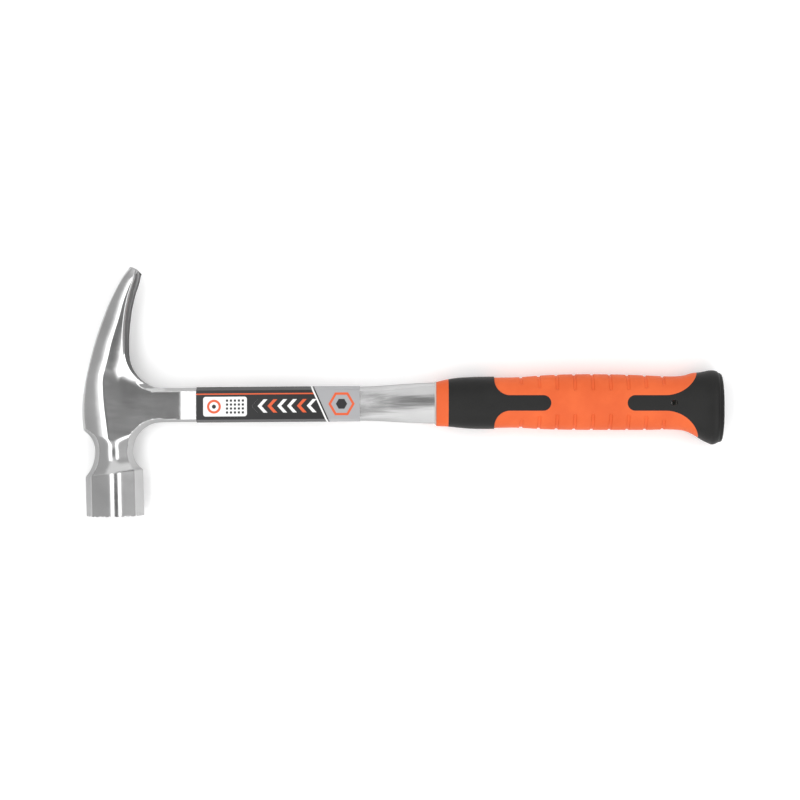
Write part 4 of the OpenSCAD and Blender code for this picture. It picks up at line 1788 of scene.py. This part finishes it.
def face_values(mesh: Mesh, label: str) -> np.ndarray:
    """Centres or normals of a mesh's faces.

    Args:
        mesh: the mesh.
        label: center or normal.

    Returns:
        Rows of three.
    """
    values = np.zeros(len(mesh.polygons) * 3, np.float32)
    mesh.polygons.foreach_get(label, values)
    return values.reshape(-1, 3)


@dataclass(frozen=True)
class LabelFilm(Piece):
    """The label: a printed film shrunk round the flat shank of the forging."""

    NAME: ClassVar[str] = "printed_label"
    NODE: ClassVar[str] = "label_sleeve"
    SLOT: ClassVar[str] = "label_film"
    FINISHES: ClassVar[tuple[Finish, ...]] = (FILM,)

    forging: Forging
    film_t: float = 0.35
    fit_gap: float = 0.05
    sections: int = 60

    def build(self) -> Mesh:
        """Closed tube round the shank: an outer and an inner wall with a face at both ends.

        Returns:
            The mesh.
        """
        plan, n = self.forging.plan, self.sections
        stations = np.linspace(plan.label_in, plan.label_end, n)
        walls = (self.fit_gap + self.film_t, self.fit_gap)
        form = self.forging
        loops = [form.loop(form.section(float(u), grow)) for grow in walls for u in stations]
        m = len(loops[0])
        i = np.arange(m)
        j = (i + 1) % m
        front = np.column_stack([n * m + j, n * m + i, i, j])
        back = np.column_stack([n * m + i, n * m + j, j, i]) + (n - 1) * m
        faces = [ring_faces(n, m)[:, ::-1], ring_faces(n, m, n * m), front, back]
        return plan.mesh(self.NODE, Patchwork(np.concatenate(loops), faces))


# Share of the grip's length, and half sizes above, below and aside as shares of the plain grip's
GRIP_TOP = (
    (0.0, 0.83), (0.045, 0.935), (0.1, 0.985), (0.2, 0.99), (0.28, 1.0), (0.36, 1.06), (0.45, 1.1),
    (0.56, 1.11), (0.67, 1.085), (0.76, 1.05), (0.84, 1.04), (0.867, 1.085), (0.888, 1.15),
)
GRIP_BOTTOM = (
    (0.0, 0.75), (0.045, 0.775), (0.1, 0.82), (0.2, 0.82), (0.28, 0.81), (0.36, 0.855), (0.45, 0.88),
    (0.56, 0.89), (0.67, 0.89), (0.76, 0.88), (0.83, 0.88), (0.87, 0.955),
)
GRIP_SIDE = (
    (0.0, 0.74), (0.045, 0.8), (0.15, 0.9), (0.28, 0.95), (0.42, 1.0), (0.6, 1.0), (0.75, 0.97), (0.85, 0.96),
)
# The same for the flared butt, with all three half sizes in a row, as shares of the butt's
BUTT = (
    (0.9, 0.873, 0.835, 0.825), (0.925, 0.9, 0.958, 0.86), (0.945, 0.933, 1.03, 0.93),
    (0.957, 0.937, 1.06, 0.98), (0.968, 0.922, 1.034, 0.99), (0.985, 0.843, 0.983, 0.88),
)


@dataclass(frozen=True)
class GripForm:
    """Sections and plans that the grip's pieces share."""

    plan: Plan
    grip_h: float = 35.4
    grip_t: float = 28.4
    butt_h: float = 47.2
    # Power of the sections' superellipse
    roundness: float = 2.4
    # Points round a visible section and round one of the core
    around: int = 160
    core_around: int = 96
    core_step: float = 2.0
    core_back_l: float = 14.4
    inlay_t: float = 2.0
    tongue_w: float = 9.8
    tongue_rise: float = 0.75
    ring_l: float = 7.7
    collar_l: float = 28.8
    collar_fillet_r: float = 9.7
    front_tongue_l: float = 72.0
    rear_tongue_l: float = 62.8
    butt_curve_l: float = 38.9
    butt_curve_r: float = 22.3
    lanyard_d: float = 4.0
    lanyard_back: float = 33.3
    overrun: float = 1.0

    @cached_property
    def curves(self) -> list[Curve]:
        """Half sizes above, below and aside along the grip.

        Returns:
            Curves over shares of the grip's length, in millimetres.
        """
        high, side = self.grip_h / 2, self.grip_t / 2
        plain = (GRIP_TOP, high), (GRIP_BOTTOM, high), (GRIP_SIDE, side)
        flared = self.butt_h / 2, self.butt_h / 2, self.plan.half_t
        return [
            Curve([(p, q * half) for p, q in table] + [(row[0], row[i + 1] * flared[i]) for row in BUTT])
            for i, (table, half) in enumerate(plain)
        ]

    @property
    def core_end(self) -> float:
        """End of the grip's core inside the butt cover."""
        return self.plan.overall_l - self.core_back_l

    @property
    def collar_in(self) -> float:
        """Front edge of the black collar."""
        return self.plan.grip_in + self.ring_l

    @property
    def collar_end(self) -> float:
        """Back edge of the black collar."""
        return self.collar_in + self.collar_l

    @property
    def tongue_v(self) -> float:
        """Height of the tongues' middle line."""
        return self.plan.handle_rise * self.tongue_rise

    @property
    def lanyard_c(self) -> Pair:
        """Middle of the lanyard hole."""
        return self.plan.overall_l - self.lanyard_back, self.tongue_v

    def place(self, share: float) -> float:
        """Distance from the crown of a share of the grip's length."""
        return mix(self.plan.grip_in, self.plan.overall_l, share)

    @staticmethod
    def stations(front: float, back: float, step: float) -> np.ndarray:
        """Distances of sections from front to back, about a step apart."""
        return np.linspace(front, back, max(2, round((back - front) / step) + 1))

    def rings(
        self,
        u: np.ndarray,
        inset: Values,
        around: int,
        carve: Callable[[np.ndarray, np.ndarray], np.ndarray] | None = None,
    ) -> np.ndarray:
        """Points round each section.

        Formula: a superellipse whose middle lies half way between its top and its bottom.

        Args:
            u: distances of the sections.
            inset: how far each section is drawn in.
            around: points round a section.
            carve: further depth at places (u, v) on the surface.

        Returns:
            Array of shape (sections, around, 3).
        """
        share = (u - self.plan.grip_in) / (self.plan.overall_l - self.plan.grip_in)
        top, bottom, side = (curve(share)[:, None] for curve in self.curves)
        centre, half = (top - bottom) / 2, (top + bottom) / 2
        t = 2 * math.pi * np.arange(around) / around
        power = 2 / self.roundness
        y = (-np.sign(np.cos(t)) * np.abs(np.cos(t)) ** power)[None, :]
        z = (np.sign(np.sin(t)) * np.abs(np.sin(t)) ** power)[None, :]
        draw = np.broadcast_to(np.asarray(inset, float), (len(u),))[:, None] + np.zeros((1, around))
        uu = np.broadcast_to(u[:, None], draw.shape)
        if carve:
            draw = draw + carve(uu, centre + half * y)
        return np.stack([uu, centre + (half - draw) * y, (side - draw) * z], axis=-1)

    def solid(self, name: str, rings: np.ndarray) -> Mesh:
        """Mesh of a closed solid through rings of points.

        Args:
            name: name of the mesh.
            rings: array of rings, from front to back.

        Returns:
            The mesh, whose ends are closed by strips across them.
        """
        n, m = rings.shape[:2]
        half = m // 2
        j = np.arange(1, half - 1)
        strips = np.column_stack([j, j + 1, m - j - 1, m - j])
        tips = np.array([[0, 1, m - 1], [half - 1, half, half + 1]])
        back = (n - 1) * m
        ends = [strips, tips, back + strips[:, ::-1], back + tips[:, ::-1]]
        return self.plan.mesh(name, Patchwork(rings.reshape(-1, 3), [ring_faces(n, m)[:, ::-1], *ends]))

    def core(self, inset: float, front: float = 0.0, back: float = 0.0) -> Mesh:
        """Plain solid inside the grip.

        Args:
            inset: how far it lies inside the grip's surface.
            front: how far it reaches out of the grip's front end.
            back: how far it reaches past the core's end.

        Returns:
            The mesh.
        """
        u = self.stations(self.plan.grip_in, self.core_end, self.core_step)
        ahead = [self.plan.grip_in - front] if front else []
        behind = [self.core_end + back] if back else []
        rings = self.rings(np.concatenate([ahead, u, behind]), inset, self.core_around)
        return self.solid("core", rings)

    def tower(self, outline: np.ndarray) -> Mesh:
        """Solid over a plan, thicker than the hammer."""
        return self.plan.mesh("tower", prism(outline, -2 * self.plan.half_t, 2 * self.plan.half_t))

    def lanyard(self) -> Mesh:
        """Cutter of the lanyard hole."""
        return self.tower(circle(self.lanyard_c, self.lanyard_d / 2))

    def collar_plan(self) -> np.ndarray:
        """Outline of the collar with its tongue.

        Returns:
            Rows of (u, v), counter-clockwise.
        """
        edge, r = self.tongue_w / 2, self.collar_fillet_r
        tip = self.plan.grip_in + self.front_tongue_l
        band = [[self.collar_in, self.butt_h], [self.collar_end, self.butt_h]]
        fillet = arc((self.collar_end + r, edge + r), r, 180, 270)
        return self.mirrored(np.concatenate([band, fillet, arc((tip - edge, 0), edge, 90, 0)]))

    def butt_plan(self) -> np.ndarray:
        """Outline of the butt cover with its tongue.

        Returns:
            Rows of (u, v), counter-clockwise.
        """
        edge, r = self.tongue_w / 2, self.butt_curve_r
        end = self.plan.overall_l
        start = end - self.butt_curve_l
        cap = [[end + self.overrun, self.butt_h], [start + r, self.butt_h]]
        fillet = arc((start, edge + r), r, 360, 270, 40)
        tip = arc((end - self.rear_tongue_l + edge, 0), edge, 90, 180)
        return self.mirrored(np.concatenate([cap, fillet, tip]))

    def mirrored(self, upper: np.ndarray) -> np.ndarray:
        """Whole outline about the tongues' middle line, without doubled points.

        Args:
            upper: its upper half.

        Returns:
            Rows of (u, v), counter-clockwise.
        """
        whole = np.concatenate([upper, upper[::-1] * np.array([1, -1])])
        apart = np.linalg.norm(np.diff(whole, axis=0), axis=1) > TINY
        whole = whole[np.concatenate([[True], apart])]
        ahead = np.roll(whole, -1, axis=0)
        area = np.sum(whole[:, 0] * ahead[:, 1] - ahead[:, 0] * whole[:, 1])
        return (whole[::-1] if area < 0 else whole) + np.array([0, self.tongue_v])


@dataclass(frozen=True)
class OrangeSleeve(Piece):
    """The orange rubber over the core, with grooves and with recesses for the black pieces."""

    NAME: ClassVar[str] = "orange_sleeve"
    NODE: ClassVar[str] = "grip_sleeve"
    SLOT: ClassVar[str] = "orange_rubber"
    # The second finish is black, painted shade on the sleeve's walls of the lanyard hole.
    FINISHES: ClassVar[tuple[Finish, ...]] = (ORANGE, BLACK)

    form: GripForm
    rubber_t: float = 3.4
    step: float = 0.62
    groove_n: int = 9
    groove_first: float = 53.6
    groove_pitch: float = 11.19
    groove_w: float = 2.1
    groove_d: float = 0.7
    groove_reach: float = 7.6
    # How much longer the outermost grooves are
    groove_growth: float = 0.45
    groove_side: float = 0.55
    groove_start: float = 0.35
    # Sections beside each wall of a groove, from inside to outside
    wall_steps: tuple[float, ...] = (-0.25, -0.08, 0.1)
    front_round: float = 0.35
    front_round_l: float = 0.3
    hole_margin: float = 0.02

    def groove_depth(self, u: np.ndarray, v: np.ndarray) -> np.ndarray:
        """Depth of the grooves at places on the grip.

        Formula: each groove is a slot with a round inner end; its depth grows smoothly over a
        narrow band inside its outline.

        Args:
            u: distances behind the crown.
            v: heights.

        Returns:
            The depths.
        """
        plan = self.form.plan
        from_first = u - plan.grip_in - self.groove_first
        i = np.clip(np.round(from_first / self.groove_pitch), 0, self.groove_n - 1)
        off = np.abs(from_first - i * self.groove_pitch)
        middle = (self.groove_n - 1) / 2
        half = self.groove_w / 2
        reach = self.groove_reach * (1 + self.groove_growth * ((i - middle) / middle) ** 4)
        past = np.maximum(0, reach + half - np.abs(v - plan.handle_rise))
        inside = half - np.hypot(off, past)
        return self.groove_d * ease(inside / self.groove_side + self.groove_start)

    def sections(self) -> tuple[np.ndarray, np.ndarray]:
        """Sections of the sleeve, with more of them at the grooves' walls and at its front.

        Returns:
            Their distances behind the crown, and how far each is drawn in.
        """
        form = self.form
        front = form.plan.grip_in
        edges = [
            front + self.groove_first + i * self.groove_pitch + side * (self.groove_w / 2 + step)
            for i in range(self.groove_n)
            for side in (-1, 1)
            for step in self.wall_steps
        ]
        even = form.stations(front, form.core_end, self.step)
        u = np.insert(np.unique(np.round(np.concatenate([even, edges]), 4)), 1, front + self.front_round_l)
        inset = np.zeros(len(u))
        inset[0] = self.front_round
        return u, inset

    def build(self) -> Mesh:
        """Sleeve, hollow for the core, with its recesses and the lanyard hole.

        Returns:
            The mesh; the walls of the lanyard hole have the second finish, black as painted shade inside the
            hole.
        """
        form = self.form
        more = form.overrun
        u, inset = self.sections()
        mesh = form.solid(self.NODE, form.rings(u, inset, form.around, self.groove_depth))
        mesh = combine(mesh, Solid.CUT, [form.core(self.rubber_t, more, more)])
        recesses = [
            combine(form.tower(outline), Solid.CUT, [form.core(form.inlay_t, more, more)])
            for outline in (form.collar_plan(), form.butt_plan())
        ]
        mesh = combine(mesh, Solid.CUT, [*recesses, form.lanyard()])
        u, v, _ = (face_values(mesh, "center") * MM - form.plan.shift).T
        off = np.hypot(u - form.lanyard_c[0], v - form.lanyard_c[1])
        # The sleeve's walls of the lanyard hole get the black finish: painted shade inside the hole.
        painted_hole_shade = off < form.lanyard_d / 2 + self.hole_margin
        mesh.polygons.foreach_set("material_index", painted_hole_shade.astype(np.int32))
        return mesh


@dataclass(frozen=True)
class BlackCollar(Piece):
    """The black collar behind the sleeve's front ring, with its tongues.

    Its back edge stands proud of the sleeve, and its hollow reaches ahead by the lead.
    """

    NAME: ClassVar[str] = "black_collar"
    NODE: ClassVar[str] = "front_collar"
    SLOT: ClassVar[str] = "black_rubber"
    FINISHES: ClassVar[tuple[Finish, ...]] = (BLACK,)

    form: GripForm
    proud: float = 0.6
    step: float = 0.6
    lead: float = 3.0

    def build(self) -> Mesh:
        """Collar cut out of a sleeve that rises to its back edge and falls along the tongues.

        Returns:
            The mesh.
        """
        form = self.form
        tip = form.plan.grip_in + form.front_tongue_l
        u = form.stations(form.collar_in - form.overrun, tip + form.overrun, self.step)
        rise = np.clip((u - form.collar_in) / form.collar_l, 0, 1) * self.proud
        fall = 1 - ease((u - form.collar_end) / form.collar_fillet_r)
        mesh = form.solid(self.NODE, form.rings(u, -rise * fall, form.around))
        mesh = combine(mesh, Solid.COMMON, [form.tower(form.collar_plan())])
        return combine(mesh, Solid.CUT, [form.core(form.inlay_t, self.lead)])


@dataclass(frozen=True)
class BlackButtCover(Piece):
    """The black cover of the butt, with its tongues and the lanyard hole.

    Its sections begin at a share of the grip and come closer together at the rim, which has a
    shallow line round it. Its rounded end stays a little inside the full length.
    """

    NAME: ClassVar[str] = "black_butt_cover"
    NODE: ClassVar[str] = "butt_cover"
    SLOT: ClassVar[str] = "black_rubber"
    FINISHES: ClassVar[tuple[Finish, ...]] = (BLACK,)

    form: GripForm
    start: float = 0.6
    step: float = 0.6
    fine_step: float = 0.2
    gap: float = 0.3
    flat: float = 0.9
    line_back: float = 1.6
    line_w: float = 0.5
    line_d: float = 0.3
    end_turn: float = 82.0
    end_rings: int = 14

    def build(self) -> Mesh:
        """Cover cut out of the grip's form.

        Formula: beside the rim the surface has a bell-shaped line; behind it the last section
        draws in to its middle with the cosine of an angle and moves back with its sine.

        Returns:
            The mesh.
        """
        form = self.form
        rim = form.place(BUTT[-1][0])
        fine = form.stations(rim - self.line_back - 3 * self.line_w, rim, self.fine_step)
        coarse = form.stations(form.place(self.start), float(fine[0]) - self.gap, self.step)
        u = np.concatenate([coarse, fine])
        line = self.line_d * np.exp(-(((u - rim + self.line_back) / self.line_w) ** 2))
        rings = list(form.rings(u, line, form.around))
        last = rings[-1]
        centre = np.array([0.0, (last[:, 1].max() + last[:, 1].min()) / 2, 0.0])
        for a in np.radians(np.linspace(0, self.end_turn, self.end_rings)[1:]):
            ring = centre + (last - centre) * np.array([1, math.cos(a), math.cos(a)])
            ring[:, 0] = rim + (form.plan.overall_l - self.flat - rim) * math.sin(a)
            rings.append(ring)
        mesh = form.solid(self.NODE, np.array(rings))
        mesh = combine(mesh, Solid.COMMON, [form.tower(form.butt_plan())])
        return combine(mesh, Solid.CUT, [form.core(form.inlay_t), form.lanyard()])


@dataclass(frozen=True)
class GripCore:
    """The hard core of the grip, which keeps its CAD mesh and shows as a pale lip."""

    NODE: ClassVar[str] = "grip_core"
    FINISH: ClassVar[Finish] = CORE

    def dress(self, frame: dict, palette: Palette) -> None:
        """Gives the CAD node its material.

        Args:
            palette: maker of materials.
        """
        mesh = frame["nodes"][self.NODE].data
        mesh.materials.clear()
        mesh.materials.append(palette.material(self.FINISH))
        LOG.info("%s: dressed", self.NODE)


@dataclass(frozen=True)
class SoftBox:
    """A soft box above the hammer, beside the camera, in metres.

    It reaches from low to high along the hammer, and shines fully between two fades, which are
    given as shares of that width.
    """

    name: str
    low: float
    high: float
    fade_in: Pair
    fade_out: Pair
    middle: float = -0.3
    length: float = 2.0
    radiance: float = 3.3

    def build(self, up: float) -> None:
        """Rectangular light that fades towards its two long sides.

        Args:
            up: its height in metres.
        """
        width = self.high - self.low
        data = bpy.data.lights.new(self.name, "AREA")
        data.shape = "RECTANGLE"
        data.size, data.size_y = width, self.length
        data.energy = self.radiance * math.pi * width * self.length
        data.use_nodes = True
        sh = Shader(data.node_tree)
        emission = next(n for n in data.node_tree.nodes if n.type == "EMISSION")
        across = sh.split(sh.node("ShaderNodeNewGeometry").outputs["Parametric"])[0]
        shine = sh.times(sh.step(across, *self.fade_in), sh.step(across, *self.fade_out))
        sh.link(shine, emission.inputs["Strength"])
        light = bpy.data.objects.new(self.name, data)
        light.location = ((self.low + self.high) / 2, self.middle, up)
        light.visible_camera = False
        bpy.context.scene.collection.objects.link(light)


SOFT_BOXES = (
    SoftBox("left_box", -0.76, -0.235, fade_in=(0.0, 0.45), fade_out=(1.0, 0.92)),
    SoftBox("right_box", 0.2, 0.65, fade_in=(0.0, 0.3), fade_out=(1.0, 0.8)),
)


@dataclass(frozen=True)
class Room:
    """The room round the hammer, as directions' parts along X, Y and Z and levels of grey.

    Behind and before the hammer are pale walls, the more so below; the ceiling above it, beside
    the camera, is darker.
    """

    base: float = 0.62
    wall: float = 0.58
    wall_below: float = 0.22
    wall_lean: float = -0.9
    wall_span: Pair = (0.2, 0.5)
    below_span: Pair = (0.3, -0.3)
    ceiling: float = -0.7
    ceiling_left: Pair = (-0.2, -0.03)
    ceiling_right: Pair = (0.42, 0.28)
    ceiling_span: Pair = (0.3, 0.15)

    def build(self) -> None:
        """Makes the world and gives it to the scene."""
        world = bpy.data.worlds.new("room")
        world.use_nodes = True
        sh = Shader(world.node_tree)
        x, y, _ = sh.split(sh.node("ShaderNodeTexCoord").outputs["Generated"])
        along = sh.size(y)
        walls = sh.step(sh.scaled(sh.size(x), self.wall_lean, along), *self.wall_span)
        below = sh.scaled(sh.step(y, *self.below_span), self.wall_below, self.wall)
        level = sh.scaled(walls, below, self.base)
        across = sh.times(sh.step(x, *self.ceiling_left), sh.step(x, *self.ceiling_right))
        ceiling = sh.times(across, sh.step(along, *self.ceiling_span))
        background = world.node_tree.nodes["Background"]
        sh.link(sh.times(level, sh.scaled(ceiling, self.ceiling, 1.0)), background.inputs["Color"])
        background.inputs["Strength"].default_value = 1.0
        bpy.context.scene.world = world


@dataclass(frozen=True)
class Studio:
    """Floor, lights, room and camera, in metres.

    Camera and lights stand at one height above the hammer's middle plane. The view is half the
    film's width over the lens' length. The floor has one grey for the camera and reflections,
    and one for everything else.
    """

    plan: Plan
    up: float = 1.331
    aim: Pair = (-0.0024, -0.0055)
    view: float = 400 / 2100
    film_w: float = 36.0
    far: float = 50.0
    floor_r: float = 6.0
    floor_gap: float = 0.0004
    floor_seen: float = 1.1
    floor_grey: float = 0.8

    @property
    def height(self) -> float:
        """Height of the camera and the lights above the floor."""
        return self.plan.half_t / MM + self.up

    def floor(self) -> None:
        """Pale floor, which looks white to the camera and stays pale to everything else."""
        mesh = bpy.data.meshes.new("floor")
        r, z = self.floor_r, -self.floor_gap
        mesh.from_pydata([(-r, -r, z), (r, -r, z), (r, r, z), (-r, r, z)], [], [(0, 1, 2, 3)])
        floor = bpy.data.objects.new("floor", mesh)
        bpy.context.scene.collection.objects.link(floor)
        material = bpy.data.materials.new("floor")
        material.use_nodes = True
        nodes = material.node_tree.nodes
        nodes.remove(nodes["Principled BSDF"])
        sh = Shader(material.node_tree)
        diffuse = sh.node("ShaderNodeBsdfDiffuse")
        rays = sh.node("ShaderNodeLightPath").outputs
        seen = sh.add(rays["Is Camera Ray"], rays["Is Glossy Ray"])
        seen = sh.math("ADD", seen, rays["Is Transmission Ray"], clamp=True)
        sh.link(sh.blend(seen, grey(self.floor_grey), grey(self.floor_seen)), diffuse.inputs["Color"])
        sh.link(diffuse.outputs[0], nodes["Material Output"].inputs["Surface"])
        mesh.materials.append(material)

    def camera(self) -> None:
        """Camera straight above the hammer."""
        data = bpy.data.cameras.new("camera")
        data.sensor_width = self.film_w
        data.lens = self.film_w / 2 / self.view
        data.clip_end = self.far
        camera = bpy.data.objects.new("camera", data)
        camera.location = (*self.aim, self.height)
        bpy.context.scene.collection.objects.link(camera)
        bpy.context.scene.camera = camera

    def build(self) -> None:
        """Sets the whole studio up."""
        self.floor()
        for box in SOFT_BOXES:
            box.build(self.height)
        Room().build()
        self.camera()
        bpy.context.scene.view_settings.view_transform = "Standard"


def main() -> None:
    """Builds the scene."""
    logging.basicConfig(level=logging.INFO, format="%(name)s %(message)s")
    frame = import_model()
    plan = Plan()
    palette = Palette(GroupMaker(plan))
    forging = Forging(plan)
    grip = GripForm(plan)
    sleeve, collar, cover = OrangeSleeve(grip), BlackCollar(grip), BlackButtCover(grip)
    for piece in (forging, LabelFilm(forging), sleeve, collar, cover):
        piece.show(palette)
    GripCore().dress(frame, palette)
    Studio(plan).build()


if __name__ == "__main__":
    main()
